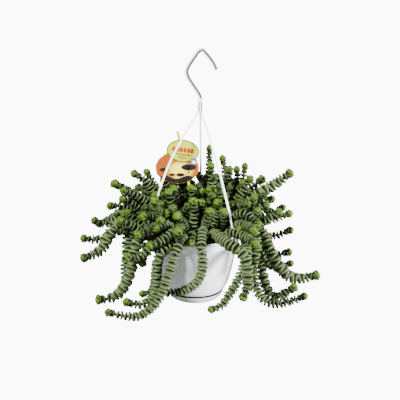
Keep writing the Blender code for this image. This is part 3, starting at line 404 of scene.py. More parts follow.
@dataclass(frozen=True)
class PlasticFinish(Finish):
    """Moulded plastic, a little soiled by handling, with painted shade where a piece is marked as lying in
    the gap between the pot and its saucer.
    """

    colour: Colour
    soil: Colour
    soil_amount: float
    roughness: float
    coat: float = 0.0
    coat_roughness: float = 0.12
    orange_peel: float = 0.02
    patch_scale: float = 38.0
    # painted shade for the gap between the pot's foot and its saucer
    seam: Colour | None = None

    def build(self, wear: bpy.types.NodeTree) -> bpy.types.Material:
        """Makes the material, with painted shade where the piece is marked as lying in the gap between the
        pot and its saucer.

        Args:
            wear: The group that soils and dulls.

        Returns:
            The finished material.
        """
        made, tree, shader = self.start()
        inputs = {"Clean Colour": self.colour, "Soil Colour": self.soil, "Soil Amount": self.soil_amount,
                  "Clean Roughness": self.roughness, "Patch Scale": self.patch_scale}
        worn = tree.add("ShaderNodeGroup", inputs, node_tree=wear).outputs
        colour = worn["Colour"]
        # Painted shade: the gap between the pot's foot and its saucer is darkened.
        if self.seam is not None:
            colour = tree.mix(tree.attribute("seam"), colour, self.seam)
        tree.fill(shader, {"Base Color": colour, "Roughness": worn["Roughness"], "Coat Weight": self.coat,
                           "Coat Roughness": self.coat_roughness})
        self.bump(tree, shader, worn["Height"], self.orange_peel)
        return made


@dataclass(frozen=True)
class PeatFinish(Finish):
    """Dark, crumbly peat with paler fibres."""

    dark: Colour = (0.015, 0.009, 0.006)
    brown: Colour = (0.085, 0.045, 0.025)
    fibre: Colour = (0.225, 0.14, 0.09)

    def build(self) -> bpy.types.Material:
        """Makes the material.

        Returns:
            The finished material.
        """
        made, tree, shader = self.start()
        crumbs = tree.grain(420.0, 6.0, 0.7)
        ground = tree.mix(tree.span(crumbs, 0.35, 0.7), self.dark, self.brown)
        fibres = tree.span(tree.grain(1300.0, 2.0), 0.66, 0.74)
        tree.fill(shader, {"Base Color": tree.mix(fibres, ground, self.fibre), "Roughness": 0.95})
        self.bump(tree, shader, crumbs, 1.2)
        return made


@dataclass(frozen=True)
class LeafFinish(Finish):
    """Fleshy leaves: grey with bloom when old, lime at the tips, paler along the margin, where their own
    lighter edge carries a painted highlight, with painted shade near the stem, and paler where the stem is
    painted as lit.

    They read the piece's attributes, all from 0 to 1: its youth, how lit it is painted, its lime, its margin,
    its painted shade near the stem and its chance.
    """

    old: Colour = (0.0092, 0.014, 0.004)
    # painted light: the tone of stems painted as lit
    pale: Colour = (0.028, 0.042, 0.015)
    middle: Colour = (0.0088, 0.016, 0.0028)
    tip: Colour = (0.041, 0.086, 0.002)
    # the leaves' own lighter edge, partly a painted highlight
    margin: Colour = (0.086, 0.13, 0.041)
    # painted shade near the stem, where the pairs crowd
    joint: Colour = (0.0028, 0.0042, 0.0014)
    bloom: Colour = (0.044, 0.06, 0.032)
    darkest: float = 0.78
    play: float = 0.42

    def build(self) -> bpy.types.Material:
        """Makes the material.

        Returns:
            The finished material.
        """
        made, tree, shader = self.start()
        age = tree.attribute("youth")
        # Painted light: stems painted as lit take the paler tone, the others the darker one.
        old = tree.mix(tree.attribute("painted_sunlight"), self.old, self.pale)
        body = tree.mix(tree.span(age, 0.15, 0.75), old, self.middle)
        lime = tree.maths("MULTIPLY", tree.span(age, 0.83, 0.95), tree.attribute("lime"))
        # The margin's lighter edge is partly the leaves' own colour and partly a painted highlight.
        at_margin = tree.span(tree.attribute("margin"), 0.3, 1.0)
        rim = tree.maths("MULTIPLY", at_margin, tree.span(age, 0.2, 0.95, 0.7, 0.12))
        patches = tree.span(tree.grain(260.0, 4.0), 0.42, 0.72)
        powder = tree.maths("MULTIPLY", patches, tree.span(age, 0.0, 0.7, 0.34, 0.0))
        for factor, colour in ((lime, self.tip), (rim, self.margin), (powder, self.bloom)):
            body = tree.mix(factor, body, colour)
        shade = tree.maths("ADD", tree.maths("MULTIPLY", tree.attribute("chance"), self.play), self.darkest)
        toned = tree.add("ShaderNodeVectorMath", {0: body, "Scale": shade}, operation="SCALE").outputs[0]
        # Painted shade: the colour darkens near the stem, where the pairs crowd.
        tree.fill(shader, {
            "Base Color": tree.mix(tree.span(tree.attribute("joint"), 0.25, 0.95), toned, self.joint),
            "Roughness": tree.span(tree.grain(900.0, 2.0), 0.2, 0.8, 0.38, 0.56),
            "Specular IOR Level": 0.16,
            "Subsurface Weight": 0.06,
            "Subsurface Radius": (0.002, 0.003, 0.0008),
        })
        self.bump(tree, shader, tree.grain(1500.0, 2.0), 0.05)
        return made


@dataclass(frozen=True)
class Glow:
    """A soft oval of another colour in an ink, placed from the hook's seat."""

    colour: Colour
    centre: tuple[float, float]
    reach: tuple[float, float]


@dataclass(frozen=True)
class PrintFinish(Finish):
    """Dull ink on the label, with the print's fine dots."""

    colour: Colour
    glow: Glow | None = None
    dot_share: float = 0.16
    dot_shade: float = 0.8
    roughness: float = 0.5
    shine: float = 0.3

    def build(self) -> bpy.types.Material:
        """Makes the material, with its glow where it has one.

        Returns:
            The finished material.
        """
        made, tree, shader = self.start()
        ink: object = self.colour
        if self.glow is not None:
            place = tree.add("ShaderNodeSeparateXYZ", {0: tree.object_position()}).outputs
            squares = []
            for axis, centre, reach in zip(("X", "Z"), self.glow.centre, self.glow.reach):
                offset = tree.maths("SUBTRACT", place[axis], centre * MM)
                share = tree.maths("MULTIPLY", offset, 1 / reach / MM)
                squares.append(tree.maths("MULTIPLY", share, share))
            ink = tree.mix(tree.span(tree.maths("ADD", *squares), 0.05, 0.85), self.glow.colour, self.colour)
        dots = tree.maths("MULTIPLY", tree.grain(2400.0, 1.0), self.dot_share)
        darker = tuple(self.dot_shade * part for part in self.colour)
        tree.fill(shader, {"Base Color": tree.mix(dots, ink, darker), "Roughness": self.roughness,
                           "Specular IOR Level": self.shine})
        return made


@dataclass(frozen=True)
class FloorFinish(Finish):
    """A white, dull studio floor, lit through so that it looks as white as what is behind it."""

    colour: Colour = (0.12, 0.12, 0.122)
    roughness: tuple[float, float] = (0.58, 0.63)
    glow: float = 10.2

    def build(self) -> bpy.types.Material:
        """Makes the material.

        Returns:
            The finished material.
        """
        made, tree, shader = self.start()
        tree.fill(shader, {
            "Base Color": self.colour,
            "Roughness": tree.span(tree.grain(9.0, 2.0), 0.3, 0.7, *self.roughness),
            "Emission Color": WHITE,
            "Emission Strength": tree.brightness(0.0, self.glow),
        })
        return made


# Painted shade for the gap between the pot's foot and its saucer.
SEAM_SHADE = (0.02, 0.02, 0.022)
BACKGROUND_GLOW = Glow((1.0, 0.78, 0.06), centre=(-31.0, -184.0), reach=(25.0, 19.0))


class Plastic(Enum):
    """The plastics, and the bark on the soil."""

    POT = PlasticFinish("pot_white", (0.88, 0.89, 0.91), (0.46, 0.45, 0.42), 0.12, 0.36, coat=0.05, seam=SEAM_SHADE)
    SAUCER = PlasticFinish("saucer_grey_white", (0.70, 0.71, 0.73), (0.42, 0.41, 0.38), 0.12, 0.22, coat=0.3,
                           seam=SEAM_SHADE)
    HANGER = PlasticFinish("hanger_white", (0.95, 0.955, 0.96), (0.55, 0.54, 0.52), 0.10, 0.38)
    # Painted shade: a near-black finish stands in for the shade in the hook's groove and the neck's slits.
    GROOVE_SHADE = PlasticFinish("hanger_groove_grime", (0.040, 0.044, 0.052), (0.030, 0.030, 0.033), 0.3, 0.8)
    CARD = PlasticFinish("card_lime", (0.42, 0.46, 0.01), (0.5, 0.52, 0.1), 0.1, 0.4)
    BARK = PlasticFinish("bark_chips", (0.12, 0.062, 0.036), (0.24, 0.17, 0.11), 0.7, 0.85, orange_peel=0.2)


class Ink(Enum):
    """The label's inks, in the order of its print's material slots."""

    ORANGE = PrintFinish("ink_orange", (0.27, 0.055, 0.0), BACKGROUND_GLOW)
    OLIVE = PrintFinish("ink_olive", (0.030, 0.034, 0.012))
    LIME = PrintFinish("ink_lime", (0.40, 0.46, 0.0))
    BRICK = PrintFinish("ink_brick", (0.26, 0.018, 0.008))
    BLACK = PrintFinish("ink_black", (0.006, 0.006, 0.006))
    VIOLET = PrintFinish("ink_violet", (0.10, 0.075, 0.36))
    CREAM = PrintFinish("ink_cream", (0.90, 0.86, 0.30))


# Meshes and pieces


def mark(mesh: bpy.types.Mesh, name: str, values: Sequence[object], kind: str = "FLOAT") -> None:
    """Gives the points of a mesh an attribute.

    Args:
        mesh: The mesh.
        name: The attribute's name.
        values: Its value for each point.
        kind: Blender's name of its kind.
    """
    layer = mesh.attributes.new(name, kind, "POINT")
    layer.data.foreach_set("vector" if kind == "FLOAT_VECTOR" else "value", np.array(values).ravel())


class Shape:
    """The points and faces of a mesh under construction."""

    def __init__(self) -> None:
        """Starts with none."""
        self.points: list[tuple[float, ...]] = []
        self.faces: list[Face] = []

    def ring(self, points: Iterable[Sequence[float]]) -> list[int]:
        """Adds points and returns their numbers."""
        start = len(self.points)
        self.points += [tuple(point) for point in points]
        return list(range(start, len(self.points)))

    def join(self, rings: Sequence[Sequence[int]]) -> None:
        """Adds the faces between closed rings that follow each other, where one point may close an end.

        Args:
            rings: The numbers of each ring's points.
        """
        for low, high in zip(rings, rings[1:]):
            count = max(len(low), len(high))
            for k in range(count):
                on = (k + 1) % count
                corners = (low[k % len(low)], low[on % len(low)], high[on % len(high)], high[k % len(high)])
                face = tuple(dict.fromkeys(corners))
                if len(face) > 2:
                    self.faces.append(face)

    def prism(self, first: Iterable[Sequence[float]], last: Iterable[Sequence[float]]) -> None:
        """Adds a closed prism between two outlines."""
        ends = [self.ring(first), self.ring(last)]
        self.join(ends)
        self.faces += [tuple(ends[0]), tuple(reversed(ends[1]))]

    def lathe(self, profile: Profile, sides: int) -> None:
        """Adds a closed profile, given as (radius, z), turned about the pot's axis."""
        rings = [self.ring(circle(radius, sides if radius else 1, z)) for radius, z in profile]
        self.join(rings + rings[:1])

    def mesh(self, smooth: bool = True, merge: bool = True, **marks: Sequence[float]) -> bpy.types.Mesh:
        """Makes the mesh, with its faces turned outwards.

        Args:
            smooth: Whether it is shaded smooth.
            merge: Whether points at the same place become one.
            **marks: Attributes of its points.

        Returns:
            The mesh.
        """
        mesh = bpy.data.meshes.new("shape")
        mesh.from_pydata(self.points, [], self.faces)
        for name, values in marks.items():
            mark(mesh, name, values)
        shell = bmesh.new()
        shell.from_mesh(mesh)
        if merge:
            bmesh.ops.remove_doubles(shell, verts=shell.verts, dist=SAME_PLACE)
        bmesh.ops.recalc_face_normals(shell, faces=shell.faces)
        shell.to_mesh(mesh)
        shell.free()
        if smooth:
            mesh.shade_smooth()
        else:
            mesh.shade_flat()
        return mesh


def rounded(profile: Profile, radius: float) -> Profile:
    """Rounds the corners of a closed profile with a few chords each.

    Args:
        profile: The profile's corners, of which those on the axis stay sharp.
        radius: How far from a corner its bend begins.

    Returns:
        The rounded profile.
    """
    soft: Profile = []
    for corner in zip(profile[-1:] + profile, profile, profile[1:] + profile[:1]):
        chords = [tuple(point) for point in bend(corner, radius, *EDGE_BEND)]
        on_axis = corner[1][0] == 0.0
        soft += [corner[1]] if on_axis else chords
    return soft


def new_piece(name: str, mesh: bpy.types.Mesh, *materials: bpy.types.Material) -> bpy.types.Object:
    """Puts a mesh in the scene.

    Args:
        name: The piece's name.
        mesh: Its mesh, already in place.
        *materials: The materials for its slots.

    Returns:
        The new object, at the origin.
    """
    mesh.name = name
    for material in materials:
        mesh.materials.append(material)
    made = bpy.data.objects.new(name, mesh)
    bpy.context.scene.collection.objects.link(made)
    return made


def baked(piece: bpy.types.Object) -> bpy.types.Mesh:
    """Applies a piece's modifiers and removes them.

    Args:
        piece: The piece.

    Returns:
        Its new plain mesh.
    """
    bpy.context.view_layer.update()
    done = bpy.data.meshes.new_from_object(piece.evaluated_get(bpy.context.evaluated_depsgraph_get()))
    piece.modifiers.clear()
    piece.data = done
    return done


def grown(piece: bpy.types.Object, tree: bpy.types.NodeTree, **values: object) -> bpy.types.Mesh:
    """Runs a geometry tree on a piece and bakes the result.

    Args:
        piece: The piece that holds what the tree starts from.
        tree: The geometry tree.
        **values: Its named inputs, which are set through their sockets' identifiers.

    Returns:
        The piece's new mesh.
    """
    modifier = piece.modifiers.new("growth", "NODES")
    modifier.node_group = tree
    for item in tree.interface.items_tree:
        name = item.name.replace(" ", "_")
        if item.in_out == "INPUT" and name in values:
            modifier[item.identifier] = values[name]
    return baked(piece)


def set_only_material(mesh: bpy.types.Mesh, finish: bpy.types.Material) -> None:
    """Leaves a mesh with one material."""
    mesh.materials.clear()
    mesh.materials.append(finish)


def mark_seam_shade(mesh: bpy.types.Mesh, top: tuple[float, float], bottom: tuple[float, float]) -> None:
    """Marks the points that lie in the gap between the pot's foot and its saucer, which get painted shade.

    Args:
        mesh: The pot's or the saucer's mesh.
        top: The radius within which the shaded points lie at its top, and its top's height above the rim.
        bottom: The same at its bottom.
    """
    slope = (top[0] - bottom[0]) / (top[1] - bottom[1])
    marks = []
    for point in mesh.vertices:
        x, y, z = DATUM.from_rim(np.array(point.co))
        marks.append(bottom[1] < z < top[1] and math.hypot(x, y) < bottom[0] + slope * (z - bottom[1]))
    mark(mesh, "seam", [float(inside) for inside in marks])


def settle_piece(piece: bpy.types.Object, slot: Slot, *nodes: str) -> None:
    """Hangs a finished piece on the frame.

    Args:
        piece: The finished object.
        slot: The record's slot that the piece stands for; not used.
        *nodes: The solids that it stands for.
    """
    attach(piece, "root")
    if nodes:
        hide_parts(*nodes)
    LOG.info("%s: %d faces for %s", piece.name, len(piece.data.polygons), ", ".join(nodes) or "no solid")


# The pot, its saucer and the soil


@dataclass
class HangingPot:
    """The turned pot with its hanging collar and the collar's gabled notches."""

    sides: int = 128
    rim: float = 73.0
    rim_edge: float = 0.9
    lip: float = 2.8
    mouth: float = 68.9
    collar: float = 70.6
    collar_height: float = 13.5
    collar_wall: float = 1.5
    collar_root: float = -4.6
    wall: float = 1.6
    bend_lift: float = 0.96
    shoulder: Profile = field(default_factory=lambda: [
        (66.8, -5.2), (65.8, -14.0), (63.9, -30.0), (61.0, -48.0), (58.0, -63.0), (54.2, -77.0),
        (51.7, -84.6), (48.6, -91.0), (45.3, -94.4), (39.8, -95.4)])
    foot: float = 37.0
    foot_z: float = -106.6
    foot_recess: float = 3.0
    floor: tuple[float, float] = (36.5, -101.0)
    heel: tuple[float, float] = (38.1, -94.6)
    corner: float = 0.5
    notches: int = 6
    notch_bearing: float = -37.0
    notch_width: float = 11.0
    notch_height: float = 7.0
    notch_eaves: float = 1.4
    notch_slope: float = 0.86
    notch_cut: tuple[float, float] = (-0.9, 3.0)
    # where the pot's foot gets painted shade, in the gap above its saucer
    seam: tuple[tuple[float, float], tuple[float, float]] = ((42.0, -95.0), (42.0, -200.0))
    sharp_angle: float = 38.0

    def section(self) -> Profile:
        """Works out the pot's section.

        Returns:
            The closed section, from the rim down the outside and up the inside.
        """
        skirt = self.collar - self.collar_wall
        inner = self.foot - self.wall
        recess = self.foot_z + self.foot_recess
        outside = [(self.rim - self.rim_edge, 0.0), (self.rim, -self.rim_edge), (self.rim, -self.lip),
                   (self.collar, -self.lip - self.rim_edge), (self.collar, -self.collar_height),
                   (skirt, -self.collar_height), (skirt, self.collar_root)]
        foot = [(self.foot, self.foot_z), (inner, self.foot_z), (inner, recess), (0.0, recess),
                (0.0, self.floor[1]), self.floor, self.heel]
        inside = [(radius - self.wall, z + self.bend_lift) for radius, z in reversed(self.shoulder[1:-1])]
        return outside + self.shoulder + foot + inside + [(self.mouth, 0.0)]

    def notch_tool(self) -> bpy.types.Object:
        """Makes the gabled wedges that notch the collar.

        Returns:
            One object with all of them.
        """
        half = self.notch_width / 2
        low = -self.collar_height
        slant = half * self.notch_slope
        eaves = low + self.notch_eaves
        ridge = low + self.notch_height
        gable = [(-half, low - 1), (half, low - 1), (slant, eaves), (0.0, ridge), (-slant, eaves)]
        cutter = Shape()
        for k in range(self.notches):
            out, across = compass(self.notch_bearing + 360 / self.notches * k)
            ends = []
            for cut in self.notch_cut:
                start = out * (self.collar + cut)
                ends.append([DATUM.point(*(start + across * a + UP * z)) for a, z in gable])
            cutter.prism(*ends)
        return new_piece("notch_tool", cutter.mesh(smooth=False))

    def build(self, finish: bpy.types.Material) -> None:
        """Makes the pot.

        Args:
            finish: The pot's material.
        """
        body = Shape()
        body.lathe(rounded(self.section(), self.corner), self.sides)
        pot = new_piece("pot_shell", body.mesh(), finish)
        tool = self.notch_tool()
        notch = pot.modifiers.new("notches", "BOOLEAN")
        notch.operation = "DIFFERENCE"
        notch.solver = "EXACT"
        notch.object = tool
        mesh = baked(pot)
        bpy.data.objects.remove(tool)
        set_only_material(mesh, finish)
        mark_seam_shade(mesh, *self.seam)
        mesh.shade_smooth()
        mesh.set_sharp_from_angle(angle=math.radians(self.sharp_angle))
        settle_piece(pot, Slot.POT, "pot")


@dataclass
class Saucer:
    """The dish pushed onto the pot's foot."""

    sides: int = 128
    rim: tuple[float, float] = (44.9, -98.0)
    lip: tuple[float, float] = (0.4, 2.2)
    wall: float = 1.6
    belly: Profile = field(default_factory=lambda: [(43.2, -102.4), (41.0, -106.2)])
    base: float = 38.0
    base_z: float = -108.7
    heel: tuple[float, float] = (0.7, 0.6)
    floor_z: float = -106.9
    seat: float = 37.3
    corner: float = 0.4
    # where the saucer gets painted shade, inside around the pot's foot
    seam: tuple[tuple[float, float], tuple[float, float]] = ((43.6, -98.2), (37.6, -107.1))
    sharp_angle: float = 50.0

    def build(self, finish: bpy.types.Material) -> None:
        """Makes the saucer from its bellied section.

        Args:
            finish: The saucer's material.
        """
        radius, top = self.rim
        outside = [self.rim, (radius - self.lip[0], top - self.lip[1]), *self.belly,
                   (self.base + self.heel[0], self.base_z + self.heel[1]), (self.base, self.base_z)]
        inside = [(0.0, self.floor_z), (self.seat, self.floor_z), (radius - self.wall, top)]
        dish = Shape()
        dish.lathe(rounded(outside + [(0.0, self.base_z)] + inside, self.corner), self.sides)
        saucer = new_piece("saucer_dish", dish.mesh(), finish)
        mark_seam_shade(saucer.data, *self.seam)
        saucer.data.set_sharp_from_angle(angle=math.radians(self.sharp_angle))
        settle_piece(saucer, Slot.SAUCER, "saucer")


@dataclass
class Soil:
    """The peat's crumbled surface, and the chips of bark and root on it.

    Its swells are noises, each given by its fineness, its layer and its share.
    """

    reach: float = 65.0
    rings: int = 40
    sides: int = 96
    depth: float = 60.0
    bottom: float = 52.0
    crumb: float = 1.6
    swells: tuple[Place, ...] = ((0.05, 3.0, 1.0), (0.35, 9.0, 0.6))
    sunk: float = 0.4
    edge_fall: float = 4.0
    edge_share: float = 0.8
    chips: int = 620
    chip_sides: int = 48
    chip_share: float = 0.93
    chip_size: tuple[float, float] = (0.8, 2.6)
    chip_shape: Place = (1.0, 0.6, 0.35)

    def surface_point(self, place: Vector) -> Vector:
        """Raises or sinks a point of the level surface as the crumbs lie.

        Args:
            place: The point, in metres from the hook's seat.

        Returns:
            The moved point.
        """
        x, y, _ = DATUM.from_rim(np.array(place))
        swell = sum(share * noise(Vector((x * fineness, y * fineness, layer)))
                    for fineness, layer, share in self.swells)
        edge = max(0.0, math.hypot(x, y) / self.reach - self.edge_share)
        height = self.crumb * swell - self.edge_fall * edge - self.sunk
        return place + UP * height * MM

    def surface(self) -> bpy.types.Mesh:
        """Makes the soil's surface, closed below.

        Returns:
            Its mesh.
        """
        peat = Shape()
        rings = []
        for k in range(1, self.rings + 1):
            level = circle(self.reach * k / self.rings, self.sides, SOIL_LEVEL)
            rings.append(peat.ring(self.surface_point(place) for place in level))
        rings.append(peat.ring(circle(self.bottom, self.sides, SOIL_LEVEL - self.depth)))
        peat.join(rings)
        peat.faces += [tuple(rings[0]), tuple(rings[-1])]
        return peat.mesh()

    def chip_tree(self, finish: bpy.types.Material) -> bpy.types.NodeTree:
        """The tree that strews chips over the soil's top.

        Args:
            finish: The chips' material.

        Returns:
            The geometry tree.
        """
        tree, given, result = new_geometry_group("strewn_chips", Density="Float", Seed="Int",
                                                 Least_Size="Float", Most_Size="Float")
        where = {"Mesh": given["Geometry"], "Density": given["Density"], "Seed": given["Seed"]}
        strewn = tree.add("GeometryNodeDistributePointsOnFaces", where)
        chip = tree.add("GeometryNodeMeshIcoSphere", {"Radius": 1.0, "Subdivisions": 1})
        flake = {"Geometry": chip.outputs["Mesh"], "Scale": self.chip_shape}
        flat = tree.add("GeometryNodeTransform", flake)
        sizes = {2: given["Least Size"], 3: given["Most Size"], "Seed": given["Seed"]}
        size = tree.add("FunctionNodeRandomValue", sizes, data_type="FLOAT")
        turns = {0: (-0.5, -0.5, 0.0), 1: (0.5, 0.5, math.tau)}
        turn = tree.add("FunctionNodeRandomValue", turns, data_type="FLOAT_VECTOR")
        placed = tree.add("GeometryNodeInstanceOnPoints", {
            "Points": strewn.outputs["Points"], "Instance": flat.outputs["Geometry"],
            "Rotation": turn.outputs[0], "Scale": size.outputs[1]})
        return tree.end(placed.outputs["Instances"], finish, result)

    def build(self, peat: bpy.types.Material, bark: bpy.types.Material) -> None:
        """Makes the soil and its chips.

        Args:
            peat: The soil's material.
            bark: The chips' material.
        """
        settle_piece(new_piece("soil_surface", self.surface(), peat), Slot.PEAT, "soil")
        reach = self.chip_share * self.reach
        disc = Shape()
        disc.faces.append(tuple(disc.ring(circle(reach, self.chip_sides, SOIL_LEVEL))))
        chips = new_piece("soil_chips", disc.mesh(), bark)
        least, most = (size * MM for size in self.chip_size)
        density = self.chips / (math.pi * (reach * MM) ** 2)
        grown(chips, self.chip_tree(bark), Density=density, Seed=SEED, Least_Size=least, Most_Size=most)
        settle_piece(chips, Slot.PEAT)


# The hanger and the label


@dataclass
class Hanger:
    """The moulded hanger: a bent hook, three straps that part below its neck, and a wishbone clip on each.

    A bar's size is its width across the front, its depth and the radius of its edges.
    """

    hook_x: float = 8.0
    hook_size: tuple[float, float] = (6.0, 5.0)
    hook_tip: float = 0.7
    hook_bend: float = 7.0
    hook_route: Profile = field(default_factory=lambda: [
        (0.0, 200.0), (0.0, 206.0), (-0.6, 212.0), (-15.0, 233.5), (-19.2, 241.0), (-20.6, 248.0),
        (-18.4, 255.2), (-4.6, 275.4), (-2.2, 278.6), (1.0, 280.0), (4.4, 278.8), (16.6, 264.0),
        (20.4, 257.6), (23.2, 250.6)])
    web: float = 2.6
    web_corner: float = 0.5
    rail_corner: float = 0.45
    # The groove's floor sits just below the front, in the dark finish: painted shade in the groove.
    groove: float = 3.3
    groove_floor: float = 0.35
    floor_size: tuple[float, float] = (1.0, 0.05)
    groove_start: int = 3
    neck_size: tuple[float, float, float] = (7.2, 6.6, 0.8)
    neck_z: tuple[float, float] = (188.0, 205.0)
    neck_overlap: tuple[float, float] = (1.0, 3.0)
    neck_offset: float = 2.1
    # The slits are dark bars on the neck's front: painted shade in place of gaps between the straps.
    slits: tuple[float, float] = (-1.7, 1.8)
    slit_size: tuple[float, float, float] = (1.5, 0.3, 0.05)
    slit_inset: tuple[float, float] = (1.0, 2.0)
    strap_size: tuple[float, float, float] = (3.2, 2.2, 0.5)
    strap_bows: dict[float, float] = field(default_factory=lambda: {-37.0: 3.0, -157.0: 12.0, 83.0: 2.0})
    strap_rise: float = 0.3
    strap_bend: float = 5.0
    strap_steps: int = 10
    fork_height: float = 16.0
    fork_inset: float = 1.0
    fork_half: float = 0.4
    leg_size: tuple[float, float, float] = (2.9, 2.2, 0.5)
    leg_bend: float = 2.0
    leg_lean: float = 0.2
    leg_shoulder: float = 4.0
    shoulder_share: float = 0.8
    clip_spread: float = 8.0
    clip_gap: float = 0.3
    rim: float = 73.0
    collar_height: float = 13.5
    toe: float = 5.8
    slim_points: int = 5
    sharp_angle: float = 50.0

    def eased(self, route: Sequence[Vector], radius: float) -> list[Vector]:
        """Rounds the corners of an open route.

        Args:
            route: The route's points.
            radius: How far from a corner its bend begins.

        Returns:
            The rounded route.
        """
        soft = [route[0]]
        for corner in zip(route, route[1:], route[2:]):
            soft += [Vector(point) for point in bend(corner, radius, *ROUTE_BEND)]
        return soft + [route[-1]]

    def strap(self, bearing: float, bow: float) -> list[Vector]:
        """Works out the line of a strap.

        Args:
            bearing: The way it leads, in degrees.
            bow: How far it swells outwards on its way down.

        Returns:
            The line, from inside the neck down to its clip's fork.
        """
        outward, _ = compass(bearing)
        start = Vector((self.hook_x, 0, 0)) + outward * self.neck_offset
        leave = start + UP * self.neck_z[0]
        fork = outward * (self.rim - self.fork_inset) + UP * self.fork_height
        line = [start + UP * self.neck_z[1], leave]
        for t in np.linspace(1 / self.strap_steps, 1.0, self.strap_steps):
            swell = math.sin(math.pi * t) * bow
            line.append(leave.lerp(fork, t) + outward * swell + UP * self.strap_rise * swell)
        return line

    def clip_leg(self, bearing: float, hand: int) -> list[Vector]:
        """Works out the line of one leg of a clip.

        Args:
            bearing: The strap's bearing in degrees.
            hand: On which side of the strap the leg is, -1 or 1.

        Returns:
            The line, down the outside of the rim and in under the collar.
        """
        outward, across = compass(bearing)
        spread = across * hand * self.clip_spread
        clear = self.clip_gap + self.leg_size[1] / 2
        stand = outward * (self.rim + clear)
        low = UP * (-self.collar_height - clear)
        shoulder = UP * self.leg_shoulder
        return [
            outward * (self.rim - self.fork_inset) + across * hand * self.fork_half + UP * self.fork_height,
            stand + spread * self.shoulder_share + shoulder,
            stand + spread - shoulder,
            stand + spread + low,
            stand - outward * self.toe + spread + low,
        ]

    def bar_tree(self, finish: bpy.types.Material) -> bpy.types.NodeTree:
        """The tree that runs a rounded bar along a guide.

        Args:
            finish: The bar's material.

        Returns:
            The geometry tree.
        """
        tree, given, result = new_geometry_group("moulded_bar", Width="Float", Depth="Float", Corner="Float")
        line = tree.add("GeometryNodeMeshToCurve", {"Mesh": given["Geometry"]}).outputs["Curve"]
        facing = {"Curve": line, "Normal": tree.named("facing", "FLOAT_VECTOR")}
        line = tree.add("GeometryNodeSetCurveNormal", facing, mode="FREE").outputs["Curve"]
        sides = {"Width": given["Depth"], "Height": given["Width"]}
        section = tree.add("GeometryNodeCurvePrimitiveQuadrilateral", sides, mode="RECTANGLE")
        edges = {"Curve": section.outputs["Curve"], "Count": 3, "Radius": given["Corner"]}
        eased = tree.add("GeometryNodeFilletCurve", edges, mode="POLY")
        swept = tree.add("GeometryNodeCurveToMesh", {
            "Curve": line, "Profile Curve": eased.outputs["Curve"], "Fill Caps": True,
            "Scale": tree.named("slim")})
        return tree.end(swept.outputs["Mesh"], finish, result)

    def bar(self, route: Sequence[Vector], facing: Vector, size: tuple[float, float, float],
            tree: bpy.types.NodeTree, slim_end: float = 1.0) -> bpy.types.Mesh:
        """Runs a rounded bar along a route.

        Args:
            route: The bar's line.
            facing: The way its flat front looks.
            size: Its size.
            tree: The tree that sweeps it.
            slim_end: The share of its size that is left at its last point.

        Returns:
            The bar's mesh.
        """
        last = len(route) - 1
        guide = bpy.data.meshes.new("guide")
        guide.from_pydata([DATUM.point(*point) for point in route], [(k, k + 1) for k in range(last)], [])
        ahead = headings(np.array([tuple(point) for point in route]))
        looks = [unit(np.array(facing) - one * one.dot(np.array(facing))) for one in ahead]
        slims = [slim_end + (1 - slim_end) * ramp(last - k, 0, self.slim_points) for k in range(last + 1)]
        mark(guide, "facing", looks, "FLOAT_VECTOR")
        mark(guide, "slim", slims)
        piece = new_piece("bar", guide)
        width, depth, corner = size
        mesh = grown(piece, tree, Width=width * MM, Depth=depth * MM, Corner=corner * MM)
        bpy.data.objects.remove(piece)
        return mesh

    def neck_bars(self, tree: bpy.types.NodeTree, shaded: bpy.types.NodeTree) -> list[bpy.types.Mesh]:
        """The neck's block, and two dark bars on its front that paint the shade of two slits.

        Args:
            tree: The tree that sweeps a bar.
            shaded: The tree that sweeps a bar in the dark finish of painted shade.

        Returns:
            The meshes of its bars.
        """
        foot, top = self.neck_z
        below, above = self.neck_overlap
        low, high = self.slit_inset
        middle = Vector((self.hook_x, 0, 0))
        block = [middle + UP * z for z in (foot - below, top + above)]
        bars = [self.bar(block, FRONT, self.neck_size, tree)]
        for x in self.slits:
            start = middle + Vector((x, 0, 0)) + FRONT * self.neck_size[1] / 2
            slit = [start + UP * z for z in (foot + low, top - high)]
            bars.append(self.bar(slit, FRONT, self.slit_size, shaded))
        return bars

    def hook_bars(self, tree: bpy.types.NodeTree, shaded: bpy.types.NodeTree) -> list[bpy.types.Mesh]:
        """The hook: a thin web with a rail on its front, and a groove beside the rail whose floor is a dark
        bar of painted shade.

        The groove is on the right of the bend below and on the outside of the bend above.

        Args:
            tree: The tree that sweeps a bar.
            shaded: The tree that sweeps a bar in the dark finish of painted shade.

        Returns:
            The meshes of its bars.
        """
        route = self.eased([Vector((self.hook_x + x, 0, z)) for x, z in self.hook_route], self.hook_bend)
        count = len(route)
        ahead = [(route[min(k + 1, count - 1)] - route[max(k - 1, 0)]).normalized() for k in range(count)]
        right = [Vector((way.z, 0, -way.x)) for way in ahead]
        crown = max(range(count), key=lambda k: route[k].z)
        width, depth = self.hook_size
        wide = width - self.groove
        back = [place - FRONT * (depth - self.web) / 2 for place in route]
        bars = [self.bar(back, FRONT, (width, self.web, self.web_corner), tree, self.hook_tip)]
        bars += self.neck_bars(tree, shaded)
        floor_lift = FRONT * (depth / 2 - self.groove_floor)
        rail_lift = FRONT * self.web / 2
        for side, first, last in ((1, self.groove_start, crown + 1), (-1, crown, count)):
            run = range(first, last)
            # The groove's floor, in the dark finish: painted shade.
            floor = [route[k] + right[k] * side * wide / 2 + floor_lift for k in run]
            rail = [route[k] - right[k] * side * self.groove / 2 + rail_lift for k in run]
            slim = self.hook_tip if last == count else 1.0
            bars.append(self.bar(floor, FRONT, (self.groove, *self.floor_size), shaded))
            bars.append(self.bar(rail, FRONT, (wide, depth - self.web, self.rail_corner), tree, slim))
        return bars

